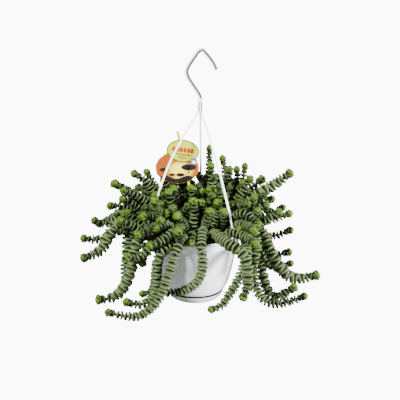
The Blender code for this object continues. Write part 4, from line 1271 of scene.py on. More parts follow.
    def arm_bars(self, tree: bpy.types.NodeTree) -> list[bpy.types.Mesh]:
        """The straps and the legs of their clips.

        Args:
            tree: The tree that sweeps a bar.

        Returns:
            The meshes of their bars.
        """
        bars = []
        for bearing, bow in self.strap_bows.items():
            outward, _ = compass(bearing)
            strap = self.eased(self.strap(bearing, bow), self.strap_bend)
            bars.append(self.bar(strap, outward, self.strap_size, tree))
            for hand in (-1, 1):
                leg = self.eased(self.clip_leg(bearing, hand), self.leg_bend)
                bars.append(self.bar(leg, outward + UP * self.leg_lean, self.leg_size, tree))
        return bars

    def build(self, finish: bpy.types.Material, groove: bpy.types.Material) -> None:
        """Makes the hanger.

        Args:
            finish: The hanger's material.
            groove: The dark material of painted shade, for the groove's floor and the neck's slits.
        """
        tree = self.bar_tree(finish)
        shell = bmesh.new()
        shades = []
        for bar in self.hook_bars(tree, self.bar_tree(groove)) + self.arm_bars(tree):
            shell.from_mesh(bar)
            shades += [int(bar.materials[0] == groove)] * len(bar.polygons)
        mesh = bpy.data.meshes.new("hanger")
        shell.to_mesh(mesh)
        shell.free()
        mesh.shade_smooth()
        hanger = new_piece("hanger_moulding", mesh, finish, groove)
        mesh.polygons.foreach_set("material_index", shades)
        mesh.set_sharp_from_angle(angle=math.radians(self.sharp_angle))
        settle_piece(hanger, Slot.HANGER, "hanger", "hook")


@dataclass(frozen=True)
class Oval:
    """An ellipse on the label: its centre, half its sizes and its turn in degrees, anticlockwise."""

    x: float
    z: float
    half_x: float
    half_z: float
    tilt: float = 0.0
    sides: int = 64

    def placed(self, a: float, b: float) -> tuple[float, float]:
        """A point given along the ellipse's own axes, as (x, z)."""
        cos, sin = math.cos(math.radians(self.tilt)), math.sin(math.radians(self.tilt))
        return (self.x + a * cos - b * sin, self.z + a * sin + b * cos)

    def outline(self, inset: float = 0.0) -> Profile:
        """Its outline, drawn in by an inset."""
        turns = [math.tau * k / self.sides for k in range(self.sides)]
        half_x, half_z = self.half_x - inset, self.half_z - inset
        return [self.placed(half_x * math.cos(turn), half_z * math.sin(turn)) for turn in turns]


@dataclass
class Label:
    """The die-cut card and its print: a glowing disc with plain shapes, and a lime oval with bars for words.

    Bars are given by their place in the oval's tilted rows and their size, and bushes by their foot and half
    their width, of which the lift and half the height of a crown and half the width of a stalk are shares.
    """

    front_y: float = 7.5
    sunk: float = 0.04
    layer: float = 0.12
    edge: float = 0.2
    edge_angle: float = 35.0
    disc: Oval = Oval(-27.3, 97.4, 33.0, 24.9)
    oval: Oval = Oval(-18.3, 124.0, 24.7, 17.6, -8.0)
    border: float = 1.5
    bushes: tuple[Place, ...] = (
        (-47.0, 88.0, 7.2), (-9.5, 88.0, 11.5), (-22.5, 80.5, 6.6), (-35.0, 82.0, 5.0))
    crown_lift: float = 0.9
    crown_height: float = 0.42
    stalk: float = 0.07
    hill_turns: tuple[float, float] = (218.0, 322.0)
    hill_share: float = 0.985
    crest_share: tuple[float, float] = (0.77, 0.60)
    crest_wave: tuple[float, float] = (2.6, 9.0)
    bar_corner: float = 0.3
    letters: int = 6
    letter: tuple[float, float, float, float] = (-14.0, 1.8, 4.6, 7.2)
    letter_pitch: float = 5.6
    lines: tuple[tuple[Ink, tuple[float, float, float, float]], ...] = (
        (Ink.BRICK, (0.0, -5.2, 24.0, 2.0)), (Ink.OLIVE, (0.5, -8.6, 15.0, 1.3)),
        (Ink.OLIVE, (0.5, -11.4, 11.0, 1.3)))
    spots: tuple[tuple[Ink, int, Oval], ...] = (
        (Ink.CREAM, 4, Oval(-24.3, 134.5, 2.4, 2.4, sides=24)),
        (Ink.VIOLET, 4, Oval(-1.6, 108.0, 5.4, 5.4, sides=32)),
        (Ink.CREAM, 5, Oval(-1.6, 106.6, 3.6, 2.6, sides=24)))

    def bar(self, x: float, z: float, width: float, height: float) -> Profile:
        """Draws a rounded bar in the oval's rows.

        Args:
            x: Its middle along the rows.
            z: Its middle across the rows.
            width: How long it is.
            height: How high it is.

        Returns:
            Its outline.
        """
        corner = min(width, height) * self.bar_corner
        outline = []
        for along, up, start in ((1, 1, 0), (-1, 1, 90), (-1, -1, 180), (1, -1, 270)):
            for step in (0, 45, 90):
                angle = math.radians(start + step)
                a = x + along * (width / 2 - corner) + corner * math.cos(angle)
                b = z + up * (height / 2 - corner) + corner * math.sin(angle)
                outline.append(self.oval.placed(a, b))
        return outline

    def bush(self, x: float, z: float, size: float) -> list[Profile]:
        """The outlines of a plain rounded bush and of its straight stalk."""
        crown = Oval(x, z + size * self.crown_lift, size, size * self.crown_height, sides=24)
        half = size * self.stalk
        return [crown.outline(), [(x - half, z), (x + half, z), (x + half, z + size), (x - half, z + size)]]

    def hill(self) -> Profile:
        """Draws the rolling ground along the disc's foot.

        Returns:
            Its outline.
        """
        x, z, half_x, half_z = self.disc.x, self.disc.z, self.disc.half_x, self.disc.half_z
        first, last = (math.radians(turn) for turn in self.hill_turns)
        foot = [(x + half_x * math.cos(turn) * self.hill_share, z + half_z * math.sin(turn) * self.hill_share)
                for turn in np.linspace(first, last, 22)]
        width, fall = self.crest_share
        height, wave = self.crest_wave
        crest = [(x + half_x * width * (1 - 2 * t), z - half_z * fall + height * math.sin(wave * t))
                 for t in np.linspace(0, 1, 20)]
        return foot + crest

    def shapes(self) -> list[tuple[Ink, int, Profile]]:
        """Lists every printed shape.

        Returns:
            The ink of each, how many layers up it lies, and its outline.
        """
        x, z, width, height = self.letter
        found = [(Ink.ORANGE, 1, self.disc.outline()), (Ink.BLACK, 2, self.hill())]
        found += [(Ink.BLACK, 3, outline) for bush in self.bushes for outline in self.bush(*bush)]
        found += [(Ink.OLIVE, 2, self.oval.outline()), (Ink.LIME, 3, self.oval.outline(self.border))]
        starts = [x + self.letter_pitch * k for k in range(self.letters)]
        found += [(Ink.BRICK, 4, self.bar(start, z, width, height)) for start in starts]
        found += [(ink, 4, self.bar(*bar)) for ink, bar in self.lines]
        return found + [(ink, level, spot.outline()) for ink, level, spot in self.spots]

    def print_mesh(self) -> bpy.types.Mesh:
        """Makes the print as thin raised plates.

        Returns:
            Its mesh, with the inks as its material slots.
        """
        plates = Shape()
        slots: list[int] = []
        for ink, level, outline in self.shapes():
            ends = (self.front_y + self.sunk, self.front_y - self.layer * level)
            plates.prism(*([DATUM.point(x, y, z) for x, z in outline] for y in ends))
            slots += [list(Ink).index(ink)] * (len(plates.faces) - len(slots))
        mesh = plates.mesh(smooth=False)
        mesh.polygons.foreach_set("material_index", slots)
        return mesh

    def card_mesh(self) -> bpy.types.Mesh:
        """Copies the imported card.

        Returns:
            A mesh with its doubled points merged and its flat faces whole.
        """
        shell = bmesh.new()
        shell.from_mesh(frame["nodes"]["label"].data)
        bmesh.ops.remove_doubles(shell, verts=shell.verts, dist=SAME_CORNER)
        bmesh.ops.dissolve_limit(shell, angle_limit=math.radians(1.0), verts=shell.verts, edges=shell.edges)
        copy = bpy.data.meshes.new("label")
        shell.to_mesh(copy)
        shell.free()
        return copy

    def build(self, card: bpy.types.Material, inks: Sequence[bpy.types.Material]) -> None:
        """Makes the card, with its edges rounded, and its print.

        Args:
            card: The card's material.
            inks: The materials of the inks, in the order of Ink.
        """
        base = new_piece("label_card", self.card_mesh(), card)
        bevel = base.modifiers.new("edges", "BEVEL")
        bevel.width = self.edge * MM
        bevel.segments = 1
        bevel.limit_method = "ANGLE"
        bevel.angle_limit = math.radians(self.edge_angle)
        bevel.harden_normals = True
        set_only_material(baked(base), card)
        settle_piece(base, Slot.LABEL, "label")
        settle_piece(new_piece("label_print", self.print_mesh(), *inks), Slot.LABEL)


# The leafy stems


@dataclass
class LeafPair:
    """One pair of opposite leaves, sized for a reach of 1 from the stem's line to a leaf's tip.

    Its points are marked with how near the leaf's margin and how near the stem they are, from 0 to 1: the
    margin takes a lighter edge with a painted highlight, and the stem's side takes painted shade.
    """

    stage: LeafStage
    rise: float
    width: float
    thickness: float
    curl: float = 0.0

    def finished(self, shape: Shape, margin: list[float], joint: list[float]) -> bpy.types.Object:
        """The pair's object, not yet in the scene."""
        mesh = shape.mesh(merge=False, margin=margin, joint=joint)
        return bpy.data.objects.new(f"pair_{self.stage.value}", mesh)


@dataclass
class OpenPair(LeafPair):
    """Two full-grown leaves, grown together round the stem into one disc that is pointed at both ends.

    Its section's rings are given by their reach, their lift and their marks.
    """

    around: int = 12
    taper: tuple[float, float] = (0.94, 1.2)
    section: tuple[tuple[float, float, float, float], ...] = (
        (0.0, 0.84, 0.0, 1.0), (0.55, 0.96, 0.0, 0.3), (0.90, 0.66, 0.6, 0.0), (1.0, 0.0, 1.0, 0.0),
        (0.92, -0.58, 0.6, 0.0), (0.58, -0.92, 0.1, 0.1), (0.0, -0.96, 0.0, 0.9))

    def build(self) -> bpy.types.Object:
        """Makes the pair.

        Returns:
            Its object.
        """
        shape = Shape()
        margin: list[float] = []
        joint: list[float] = []
        rings = []
        steepness = math.tan(math.radians(self.rise))
        for out, lift, at_margin, at_joint_shade in self.section:
            points = []
            for k in range(self.around if out else 1):
                turn = math.tau * k / self.around
                along, across = (math.copysign(abs(part) ** power, part)
                                 for part, power in zip((math.cos(turn), math.sin(turn)), self.taper))
                x = out * along
                climb = steepness * abs(x) + math.radians(self.curl) * x * x
                points.append((x, out * self.width * across, lift * self.thickness + climb))
            rings.append(shape.ring(points))
            margin += [at_margin] * len(points)
            joint += [at_joint_shade] * len(points)
        shape.join(rings)
        return self.finished(shape, margin, joint)


@dataclass
class YoungPair(LeafPair):
    """Two plump young leaves that still stand up against each other, with a slit between them.

    The margin's mark grows along a leaf from edge_mark's share, by its slope, and from tip_mark's place on at
    the tip, by its slope.
    """

    rings: tuple[float, ...] = (0.0, 0.24, 0.52, 0.78, 0.94)
    around: int = 6
    shoulder: float = 0.24
    foot_share: float = 0.82
    bluntness: float = 2.6
    thinning: float = 0.3
    edge_mark: tuple[float, float] = (0.2, 2.0)
    tip_mark: tuple[float, float] = (0.6, 2.2)
    # how far from the stem the painted shade reaches
    joint_reach: float = 0.5

    def half_width(self, along: float) -> float:
        """How wide the leaf is.

        Args:
            along: The share of its length, from 0 at the stem to 1 at its tip.

        Returns:
            Half its width there.
        """
        if along < self.shoulder:
            return self.width * (self.foot_share + (1 - self.foot_share) * along / self.shoulder)
        past = (along - self.shoulder) / (1 - self.shoulder)
        return self.width * (1 - past**self.bluntness) ** 0.5

    def build(self) -> bpy.types.Object:
        """Makes the pair.

        Returns:
            Its object.
        """
        shape = Shape()
        margin: list[float] = []
        joint: list[float] = []
        climb, curl = math.radians(self.rise), math.radians(self.curl)
        least, growth = self.edge_mark
        start, slope = self.tip_mark
        for side in (1, -1):
            rings = []
            for along in self.rings:
                lean = climb + curl * along
                height = along * math.sin(climb) + 0.5 * along * along * curl
                centre = Vector((along * math.cos(climb), 0, height))
                half_thickness = self.thickness * (1 - self.thinning * along**3)
                up = Vector((-math.sin(lean), 0, math.cos(lean))) * half_thickness
                points = []
                for k in range(self.around):
                    turn = math.tau * k / self.around
                    across = Vector((0, self.half_width(along) * math.cos(turn), 0))
                    place = centre + up * math.sin(turn) + across
                    points.append((side * place.x, place.y, place.z))
                    at_edge = abs(math.cos(turn)) ** 3 * min(1.0, growth * along + least)
                    margin.append(max(at_edge, max(0.0, along - start) * slope))
                    joint.append(max(0.0, 1 - along / self.joint_reach))
                rings.append(shape.ring(points))
            rings.append(shape.ring([(side * math.cos(climb), 0.0, math.sin(climb) + 0.5 * curl)]))
            margin.append(1.0)
            joint.append(0.0)
            shape.join(rings)
            shape.faces.append(tuple(reversed(rings[0])))
        return self.finished(shape, margin, joint)


@dataclass
class BallPair(LeafPair):
    """Two leaves of a tip, still closed on each other as the halves of a ball, with a slit between them."""

    foot: float = -0.8
    levels: tuple[float, ...] = (-0.62, -0.2, 0.25, 0.62, 0.88)
    arc: int = 5
    slit: float = 0.07
    droop: float = 0.35
    slit_margin: float = 0.7
    # painted shade at the ball's foot, by the stem
    foot_shade: tuple[float, float] = (1.4, 0.3)

    def build(self) -> bpy.types.Object:
        """Makes the pair.

        Returns:
            Its object.
        """
        shape = Shape()
        margin: list[float] = []
        joint: list[float] = []
        lean = math.radians(self.rise)
        slope, start = self.foot_shade
        arc_turns = [math.pi * (k / (self.arc - 1) - 0.5) for k in range(self.arc)]
        for side in (1, -1):
            rings = []
            for level in (self.foot, *self.levels, 1.0):
                radius = math.sqrt(1.0 - level**2) if level in self.levels else 0.0
                points = []
                for turn in arc_turns if radius else [0.0]:
                    out = self.slit + (1.0 - self.slit) * radius * math.cos(turn)
                    high = self.thickness * (level - self.foot)
                    points.append((side * (out * math.cos(lean) + high * math.sin(lean)),
                                   self.width * radius * math.sin(turn),
                                   high * math.cos(lean) - self.droop * out * math.sin(lean)))
                    at_slit = abs(math.sin(turn)) ** 3 if radius else 1.0
                    margin.append(self.slit_margin * at_slit)
                    joint.append(max(0.0, -slope * level - start))
                rings.append(shape.ring(points))
            shape.join(rings)
        return self.finished(shape, margin, joint)


@dataclass
class Sprig:
    """One stem: its line and its leaves' reach, in metres, from the soil to the bud.

    It is bare up to a length in millimetres; how young and how lime it is goes from 0 to 1.
    """

    line: np.ndarray
    reach: np.ndarray
    bare: float = 15.0
    young: float = 0.0
    lime: float = 1.0

    def lengths(self) -> np.ndarray:
        """How far along the line each of its points lies."""
        return distances_along(self.line)

    def at(self, distances: np.ndarray) -> tuple[np.ndarray, np.ndarray]:
        """The places and reaches at distances along the line.

        Args:
            distances: How far along the line, in metres.

        Returns:
            The places and the reaches.
        """
        along = self.lengths()
        places = np.stack([np.interp(distances, along, self.line[:, k]) for k in range(3)], axis=1)
        return places, np.interp(distances, along, self.reach)


class CrownReader:
    """Reads the stems of one crown back from its solid.

    Every stem ends in a bud whose point has four neighbours. Outwards from there the solid is made of rings,
    in turn four points where a pair of leaves is widest and three where the stem is bare, until two rings of
    three follow each other where the leaves end.
    """

    ROOT_REACH = 64.0
    LEVEL = 4e-6
    COLLAR = 0.8
    FOOT = 4.0
    BASE_REACHES = (2.6, 3.2)

    def __init__(self, node: str) -> None:
        """Reads the points and edges of a solid.

        Args:
            node: The solid's name.
        """
        shell = bmesh.new()
        shell.from_mesh(frame["nodes"][node].data)
        bmesh.ops.remove_doubles(shell, verts=shell.verts, dist=SAME_CORNER)
        shell.verts.ensure_lookup_table()
        self.places = np.array([tuple(point.co) for point in shell.verts])
        self.near = [[edge.other_vert(point).index for edge in point.link_edges] for point in shell.verts]
        shell.free()

    def rings_from(self, start: int) -> list[list[int]]:
        """The rings of points outwards from a bud's point.

        Args:
            start: The number of the point.

        Returns:
            The rings, or an empty list if the point isn't a bud's.
        """
        rings, seen, edge = [[start]], {start}, [start]
        while True:
            edge = sorted({n for k in edge for n in self.near[k]} - seen)
            seen.update(edge)
            wanted = 4 if len(rings) % 2 else 3
            if len(edge) == wanted:
                rings.append(edge)
                continue
            if len(edge) == 3 and wanted == 4 and len(rings) > 2:
                return rings + [edge]
            return []

    def root(self) -> np.ndarray:
        """The middle of the root's foot."""
        level = np.abs(self.places[:, 2] - DATUM.root_z * MM) < self.LEVEL
        inside = np.hypot(self.places[:, 0] - DATUM.axis_x * MM, self.places[:, 1]) < self.ROOT_REACH * MM
        return self.places[level & inside].mean(axis=0)

    def sprigs(self) -> list[Sprig]:
        """Traces the crown's stems.

        Returns:
            Them all, each from the soil to its bud.
        """
        root = self.root()
        collar = np.array([root[0], root[1], (DATUM.soil_z + self.COLLAR) * MM])
        foot = collar - np.array([0, 0, self.FOOT * MM])
        found = []
        for start, near in enumerate(self.near):
            rings = self.rings_from(start) if len(near) == 4 else []
            if not rings:
                continue
            middles = np.array([self.places[ring].mean(axis=0) for ring in rings])
            line = np.array([foot, collar] + list(middles[::-1]))
            along = distances_along(line)
            known = [(0.0, self.BASE_REACHES[0] * MM), (along[2], self.BASE_REACHES[1] * MM)]
            for ring, middle in zip(reversed(rings), middles[::-1]):
                if len(ring) == 4:
                    reach = np.linalg.norm(self.places[ring] - middle, axis=1).max()
                    known.append((along[int(np.linalg.norm(line - middle, axis=1).argmin())], reach))
            found.append(Sprig(line, np.interp(along, *zip(*known))))
        return found


@dataclass(frozen=True)
class Clearing:
    """A box that side shoots keep out of, open where an end isn't given."""

    x: tuple[float, float] = (-math.inf, math.inf)
    y: tuple[float, float] = (-math.inf, math.inf)
    z: tuple[float, float] = (-math.inf, math.inf)

    def holds(self, place: Sequence[float]) -> bool:
        """Whether a place lies in it."""
        return all(low < value < high for value, (low, high) in zip(place, (self.x, self.y, self.z)))


@dataclass
class SideShoots:
    """Short shoots along the stems where they crowd over the pot.

    None hangs over the pot's wall, farther from the axis and lower than over_wall says, but in the bundles at
    the left, past the x and the radius of left_bundles. None is before the strap that leads between the two
    points of strap, nor in a clearing.
    """

    spacing: float = 17.0
    start: float = 14.0
    stem_share: float = 0.6
    length: tuple[float, float] = (20.0, 38.0)
    reach: tuple[float, float] = (5.6, 7.2)
    swelling: tuple[float, ...] = (0.62, 0.9, 1.0, 1.0, 0.98, 0.92, 0.86)
    ahead: float = 0.55
    upward: tuple[float, float] = (0.5, 0.8)
    lift: float = 0.28
    bare: float = 5.0
    young: float = 0.35
    limes: tuple[float, ...] = (0.15, 0.3, 0.55, 0.95)
    box_margin: float = 6.0
    farthest: float = 112.0
    over_wall: tuple[float, float] = (60.0, 8.0)
    left_bundles: tuple[float, float] = (-60.0, 84.0)
    strap: tuple[Place, Place] = ((10.0, 0.0, 188.0), (57.0, -38.0, 16.0))
    strap_room: float = 11.0
    below_left: Clearing = Clearing(x=(-math.inf, -60.0), z=(-math.inf, -42.0))
    before_pot: Clearing = Clearing(x=(-60.0, math.inf), y=(-math.inf, 0.0), z=(-math.inf, 4.0))
    behind_pot: Clearing = Clearing(x=(-60.0, math.inf), y=(0.0, math.inf), z=(-math.inf, -18.0))
    at_label: Clearing = Clearing(x=(-66.0, 16.0), y=(-14.0, 20.0), z=(72.0, math.inf))
    open_soil: Clearing = Clearing(x=(-16.0, 46.0), y=(-math.inf, -26.0), z=(-math.inf, 34.0))

    def hides_something(self, place: np.ndarray) -> bool:
        """Whether a shoot at a place would hide the pot, the label, a strap or the soil's open front.

        Args:
            place: The place, in metres from the hook's seat.

        Returns:
            True where it would, and where it is too far from the pot's axis.
        """
        x, y, z = DATUM.from_rim(place)
        from_axis = math.hypot(x, y)
        radius, top = self.over_wall
        leftmost, left_radius = self.left_bundles
        over_wall = from_axis > radius and z < top and not (x < leftmost and from_axis > left_radius)
        head, foot = np.array(self.strap)
        beside = head + (foot - head) * (head[2] - z) / (head[2] - foot[2])
        before_strap = abs(x - beside[0]) < self.strap_room and y < beside[1]
        boxes = (self.below_left, self.before_pot, self.behind_pot, self.at_label, self.open_soil)
        in_box = any(box.holds((x, y, z)) for box in boxes)
        return in_box or over_wall or before_strap or from_axis > self.farthest

    def fits(self, line: np.ndarray) -> bool:
        """Whether a shoot hides nothing and stays well inside the box of the solids.

        Args:
            line: The shoot's line, in metres from the hook's seat.

        Returns:
            True where it does.
        """
        low, high = (np.array(corner) for corner in SOLID_BOX)
        margin = self.box_margin * MM
        inside = (line >= low + margin).all() and (line <= high - margin).all()
        return inside and not any(self.hides_something(place) for place in line[2:])

    def along(self, sprigs: Sequence[Sprig], draw: random.Random) -> list[Sprig]:
        """The shoots along a crown's stems.

        Args:
            sprigs: The crown's stems.
            draw: The source of chance.

        Returns:
            The shoots.
        """
        shoots = []
        for sprig in sprigs:
            reach = self.stem_share * sprig.lengths()[-1] / MM
            for mark_at in np.arange(self.start, reach, self.spacing) * MM:
                (start, beyond), _ = sprig.at(np.array([mark_at, mark_at + 2 * MM]))
                ahead = unit(beyond - start)
                out = np.array([draw.gauss(0, 1), draw.gauss(0, 1), draw.gauss(*self.upward)])
                out = unit(out - ahead * out.dot(ahead))
                length = draw.uniform(*self.length) * MM
                aim = unit(self.ahead * ahead + out)
                steps = np.linspace(0, 1, len(self.swelling))[:, None]
                lift = np.array(UP) * self.lift * length
                line = start + aim * length * steps + lift * steps**2
                if self.fits(line):
                    swelling = draw.uniform(*self.reach) * MM * np.array(self.swelling)
                    shoots.append(Sprig(line, swelling, self.bare, self.young, draw.choice(self.limes)))
        return shoots


@dataclass
class Foliage:
    """Every leafy stem: opposite pairs of leaves strung on their stems, each pair square to the last."""

    pitch: float = 5.9
    pitch_play: tuple[float, float] = (0.93, 1.07)
    tip_gaps: tuple[float, ...] = (1.6, 3.2, 6.0, 10.2)
    first_pair: float = 0.6
    first_bend: float = 0.5
    wobble: float = 0.06
    plump_young: float = 6.2
    plump_open: float = 7.6
    stage_shares: tuple[float, ...] = (1.0, 0.90, 0.92, 1.0, 0.72)
    bare_share: float = 0.36
    swell: tuple[float, float] = (1.1, 1.2)
    tip_reach: float = 60.0
    # painted light on side shoots: little, as they sit in the crown
    shoot_paleness: float = 0.12
    # painted shade on the bare stem between the pairs
    core_joint: float = 0.72
    stem_sides: int = 7
    line_step: float = 1.0
    # Painted light and shade on whole stems: paler where they hang in front or at the left, darker at the
    # right.
    hidden_paleness: float = 0.08
    hanging_paleness: float = 0.5
    lit_paleness: float = 0.42
    right_shade: float = 0.35
    stem_tone: float = 0.65
    youth_fade: float = 0.8
    shoots: SideShoots = field(default_factory=SideShoots)
    pairs: tuple[LeafPair, ...] = (
        OpenPair(LeafStage.OPEN, 7.0, 0.90, 0.27, 9.0),
        OpenPair(LeafStage.SPREAD, 15.0, 0.90, 0.30, 12.0),
        YoungPair(LeafStage.YOUNG, 26.0, 0.96, 0.34, 22.0),
        BallPair(LeafStage.CLOSING, 16.0, 0.96, 0.62),
        BallPair(LeafStage.BUD, 3.0, 0.98, 0.66),
    )

    def smooth_line(self, sprig: Sprig) -> Sprig:
        """Rounds a stem's line into a finer curve.

        Args:
            sprig: The stem.

        Returns:
            The same stem with more points.
        """
        line = sprig.line
        padded = np.vstack([2 * line[0] - line[1], line, 2 * line[-1] - line[-2]])
        fine, reaches = [], []
        for k in range(len(line) - 1):
            a, b, c, d = padded[k : k + 4]
            count = max(2, round(float(np.linalg.norm(c - b)) / (self.line_step * MM)))
            for t in np.linspace(0, 1, count, endpoint=False):
                square, cube = (2 * a - 5 * b + 4 * c - d) * t**2, (3 * b - a - 3 * c + d) * t**3
                fine.append(0.5 * (2 * b + (c - a) * t + square + cube))
                reaches.append((1 - t) * sprig.reach[k] + t * sprig.reach[k + 1])
        fine.append(line[-1])
        reaches.append(sprig.reach[-1])
        return Sprig(np.array(fine), np.array(reaches), sprig.bare, sprig.young, sprig.lime)

    def paleness(self, sprig: Sprig) -> float:
        """How lit a stem is painted, as paleness: most where it hangs in front, less at the right and in the
        crown.

        Args:
            sprig: The stem.

        Returns:
            Its paleness, from 0 to 1.
        """
        _, front, lowest = DATUM.from_rim(sprig.line.min(axis=0))
        tip, _, _ = DATUM.from_rim(sprig.line[-1])
        hanging = ramp(-lowest, 12.0, 42.0)
        in_front = ramp(-front, 0.0, 60.0)
        on_left = ramp(-tip, 30.0, 60.0)
        on_right = ramp(tip, 48.0, 78.0)
        lit = self.hanging_paleness + self.lit_paleness * max(in_front, on_left)
        return self.hidden_paleness + hanging * lit * (1.0 - self.right_shade * on_right)

    def stops(self, sprig: Sprig, draw: random.Random) -> np.ndarray:
        """How far along a stem its points and pairs sit, in metres.

        Args:
            sprig: The stem.
            draw: The source of chance.

        Returns:
            The distances: two for the bare foot, then one for each pair.
        """
        total = sprig.lengths()[-1]
        marks = [total - gap * MM for gap in self.tip_gaps]
        while marks[-1] > (sprig.bare + self.pitch) * MM:
            marks.append(marks[-1] - self.pitch * MM * draw.uniform(*self.pitch_play))
        leafy = sorted(one for one in marks if one > self.first_pair * sprig.bare * MM)
        return np.array([0.0, self.first_bend * sprig.bare * MM, *leafy])

    def guide(self, sprigs: Sequence[Sprig], draw: random.Random) -> bpy.types.Mesh:
        """The points that the pairs are strung on.

        Args:
            sprigs: The crown's stems.
            draw: The source of chance.

        Returns:
            A mesh of edges with what each pair needs as attributes on its points.
        """
        places: list[np.ndarray] = []
        edges: list[tuple[int, int]] = []
        named: dict[str, list] = {}
        for sprig in map(self.smooth_line, sprigs):
            total = sprig.lengths()[-1]
            marks = self.stops(sprig, draw)
            count = len(marks)
            stops, reach = sprig.at(marks)
            ahead = headings(stops)
            turn = draw.uniform(0, math.tau)
            side = np.array([math.cos(turn), math.sin(turn), 0.1])
            # Painted light: how lit the stem looks, given as paleness in its colour.
            sunlit = self.shoot_paleness if sprig.young else self.paleness(sprig)
            tone = draw.random()
            edges += [(len(places) + k, len(places) + k + 1) for k in range(count - 1)]
            places += list(stops)
            for k in range(count):
                side = unit(side - ahead[k] * side.dot(ahead[k]))
                wobble = np.array([draw.uniform(-self.wobble, self.wobble) for _ in range(3)])
                from_tip = ramp(total - marks[k], 0.0, self.tip_reach * MM)
                stage = max(0, LeafStage.BUD.value - (count - 1 - k))
                fleshy = self.swell[0] + (self.swell[1] - self.swell[0]) * from_tip
                spread = reach[k] * fleshy * self.stage_shares[stage]
                least = self.plump_young if stage >= LeafStage.YOUNG.value else self.plump_open
                values = {
                    "forward": ahead[k] + wobble,
                    "across": side if k % 2 else np.cross(ahead[k], side),
                    "reach": spread,
                    "plump": max(spread, least * MM),
                    "core": reach[k] * self.bare_share,
                    "youth": max(sprig.young, 1.0 - from_tip**self.youth_fade),
                    "painted_sunlight": sunlit,
                    "lime": sprig.lime,
                    "chance": self.stem_tone * tone + (1 - self.stem_tone) * draw.random(),
                    "stage": stage,
                    "leafy": k > 1,
                }
                for name, value in values.items():
                    named.setdefault(name, []).append(value)
        mesh = bpy.data.meshes.new("guide")
        mesh.from_pydata(places, edges, [])
        kinds = {"forward": "FLOAT_VECTOR", "across": "FLOAT_VECTOR", "stage": "INT", "leafy": "BOOLEAN"}
        for name, values in named.items():
            mark(mesh, name, values, kinds.get(name, "FLOAT"))
        return mesh

    def tree(self, pairs: bpy.types.Collection, finish: bpy.types.Material) -> bpy.types.NodeTree:
        """The tree that strings the pairs on a guide and sheathes it with the stem.

        Args:
            pairs: The collection of one pair for each stage, in their order.
            finish: The leaves' material.

        Returns:
            The geometry tree.
        """
        tree, given, result = new_geometry_group("strung_leaf_pairs", Swell="Float", Stem_Sides="Int")
        bank = tree.add("GeometryNodeCollectionInfo", {
            "Collection": pairs, "Separate Children": True, "Reset Children": True})
        axes = {0: tree.named("forward", "FLOAT_VECTOR"), 1: tree.named("across", "FLOAT_VECTOR")}
        aim = tree.add("FunctionNodeAxesToRotation", axes, primary_axis="Z", secondary_axis="X")
        names = ("reach", "reach", "plump")
        sizes = [tree.maths("MULTIPLY", tree.named(name), given["Swell"]) for name in names]
        size = tree.add("ShaderNodeCombineXYZ", dict(enumerate(sizes)))
        strung = tree.add("GeometryNodeInstanceOnPoints", {
            "Points": given["Geometry"],
            "Selection": tree.named("leafy", "BOOLEAN"),
            "Instance": bank.outputs[0],
            "Pick Instance": True,
            "Instance Index": tree.named("stage", "INT"),
            "Rotation": aim.outputs[0],
            "Scale": size.outputs[0],
        })
        line = tree.add("GeometryNodeMeshToCurve", {"Mesh": given["Geometry"]})
        round_section = {"Resolution": given["Stem Sides"], "Radius": 1.0}
        ring = tree.add("GeometryNodeCurvePrimitiveCircle", round_section)
        sheath = tree.add("GeometryNodeCurveToMesh", {
            "Curve": line.outputs["Curve"],
            "Profile Curve": ring.outputs["Curve"],
            "Scale": tree.named("core"),
            "Fill Caps": True,
        })
        # Painted shade: the stem between the pairs is marked to darken.
        shaded = {"Geometry": sheath.outputs["Mesh"], "Name": "joint", "Value": self.core_joint}
        dark = tree.add("GeometryNodeStoreNamedAttribute", shaded, data_type="FLOAT", domain="POINT")
        soft = tree.add("GeometryNodeSetShadeSmooth", {"Geometry": dark.outputs["Geometry"]})
        both = tree.add("GeometryNodeJoinGeometry", {"Geometry": soft.outputs["Geometry"]})
        tree.feed(both.inputs["Geometry"], strung.outputs["Instances"])
        return tree.end(both.outputs["Geometry"], finish, result)

    def build(self, finish: bpy.types.Material) -> None:
        """Makes a piece for each crown.

        Args:
            finish: The leaves' material.
        """
        bank = bpy.data.collections.new("leaf_pairs")
        bpy.context.scene.collection.children.link(bank)
        for pair in self.pairs:
            bank.objects.link(pair.build())
        tree = self.tree(bank, finish)
        draw = random.Random(SEED)
        for node in sorted(name for name in frame["nodes"] if name.startswith("stem_")):
            sprigs = CrownReader(node).sprigs()
            sprigs += self.shoots.along([self.smooth_line(sprig) for sprig in sprigs], draw)
            piece = new_piece(node.replace("stem", "sprigs"), self.guide(sprigs, draw))
            grown(piece, tree, Swell=1.0, Stem_Sides=self.stem_sides)
            settle_piece(piece, Slot.LEAF, node)
        for shape in list(bank.objects):
            bpy.data.objects.remove(shape)
        bpy.data.collections.remove(bank)


# The studio


@dataclass(frozen=True)
class Lamp:
    """A soft square light that faces the pot.

    Its place from the middle of the pot's rim and its side are in metres, and its power in watts.
    """

    name: str
    place: Place
    size: float
    power: float

    def hang(self) -> None:
        """Puts the light in the scene, out of the camera's sight."""
        data = bpy.data.lights.new(self.name, "AREA")
        data.size = self.size
        data.energy = self.power
        lamp = bpy.data.objects.new(self.name, data)
        lamp.visible_camera = False
        bpy.context.scene.collection.objects.link(lamp)
        middle = DATUM.point(0, 0, 0)
        lamp.location = middle + Vector(self.place)
        lamp.rotation_euler = (middle - lamp.location).to_track_quat("-Z", "Y").to_euler()


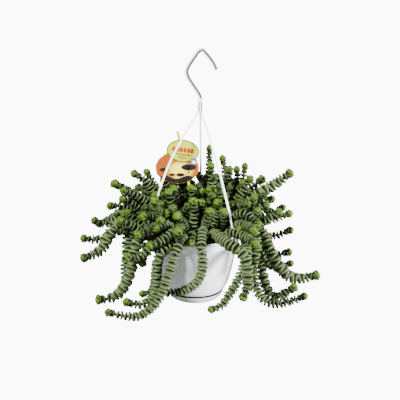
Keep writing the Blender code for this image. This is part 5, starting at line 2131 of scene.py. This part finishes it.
@dataclass
class Studio:
    """The white floor, the soft lights and the camera at the photograph's angle, from the hook's seat."""

    target: Place = (-1.3, 0.0, -229.0)
    distance: float = 1500.0
    elevation: float = 18.5
    lens: float = 87.66
    sensor: float = 36.0
    floor_z: float = -405.0
    floor_size: float = 6000.0
    ambient: float = 0.40
    backdrop: float = 10.5
    lamps: tuple[Lamp, ...] = (
        Lamp("key", (-0.95, -1.10, 1.60), 0.30, 205.0),
        Lamp("fill", (1.95, -0.55, 0.20), 0.7, 240.0),
    )

    def floor(self, finish: bpy.types.Material) -> None:
        """Lays the floor.

        Args:
            finish: Its material.
        """
        half = self.floor_size / 2 * MM
        plane = Shape()
        corners = ((-half, -half), (half, -half), (half, half), (-half, half))
        plane.faces.append(tuple(plane.ring((x, y, self.floor_z * MM) for x, y in corners)))
        new_piece("studio_floor", plane.mesh(), finish)

    def camera(self) -> None:
        """Sets up the camera."""
        data = bpy.data.cameras.new("camera")
        data.lens = self.lens
        data.sensor_width = self.sensor
        eye = bpy.data.objects.new("camera", data)
        bpy.context.scene.collection.objects.link(eye)
        tilt = math.radians(self.elevation)
        aim = Vector(self.target) * MM
        eye.location = aim + (FRONT * math.cos(tilt) + UP * math.sin(tilt)) * self.distance * MM
        eye.rotation_euler = (aim - eye.location).to_track_quat("-Z", "Y").to_euler()
        bpy.context.scene.camera = eye

    def surroundings(self) -> None:
        """Makes the white surroundings, brighter to the eye than as a light."""
        world = bpy.data.worlds.new("studio")
        bpy.context.scene.world = world
        world.use_nodes = True
        tree = Tree(world.node_tree)
        back = world.node_tree.nodes["Background"]
        tree.fill(back, {"Color": WHITE, "Strength": tree.brightness(self.ambient, self.backdrop)})

    def build(self, finish: bpy.types.Material) -> None:
        """Makes the whole studio.

        Args:
            finish: The floor's material.
        """
        self.floor(finish)
        self.camera()
        self.surroundings()
        for lamp in self.lamps:
            lamp.hang()


def main() -> None:
    """Dresses the plant and its pot, and sets up the studio."""
    logging.basicConfig(level=logging.INFO, format="%(message)s")
    wear = make_wear_group()
    plastic = {kind: kind.value.build(wear) for kind in Plastic}
    HangingPot().build(plastic[Plastic.POT])
    Saucer().build(plastic[Plastic.SAUCER])
    Soil().build(PeatFinish("peat").build(), plastic[Plastic.BARK])
    Hanger().build(plastic[Plastic.HANGER], plastic[Plastic.GROOVE_SHADE])
    Label().build(plastic[Plastic.CARD], [ink.value.build() for ink in Ink])
    Foliage().build(LeafFinish("crassula_leaf").build())
    Studio().build(FloorFinish("studio_white").build())


if __name__ == "__main__":
    main()
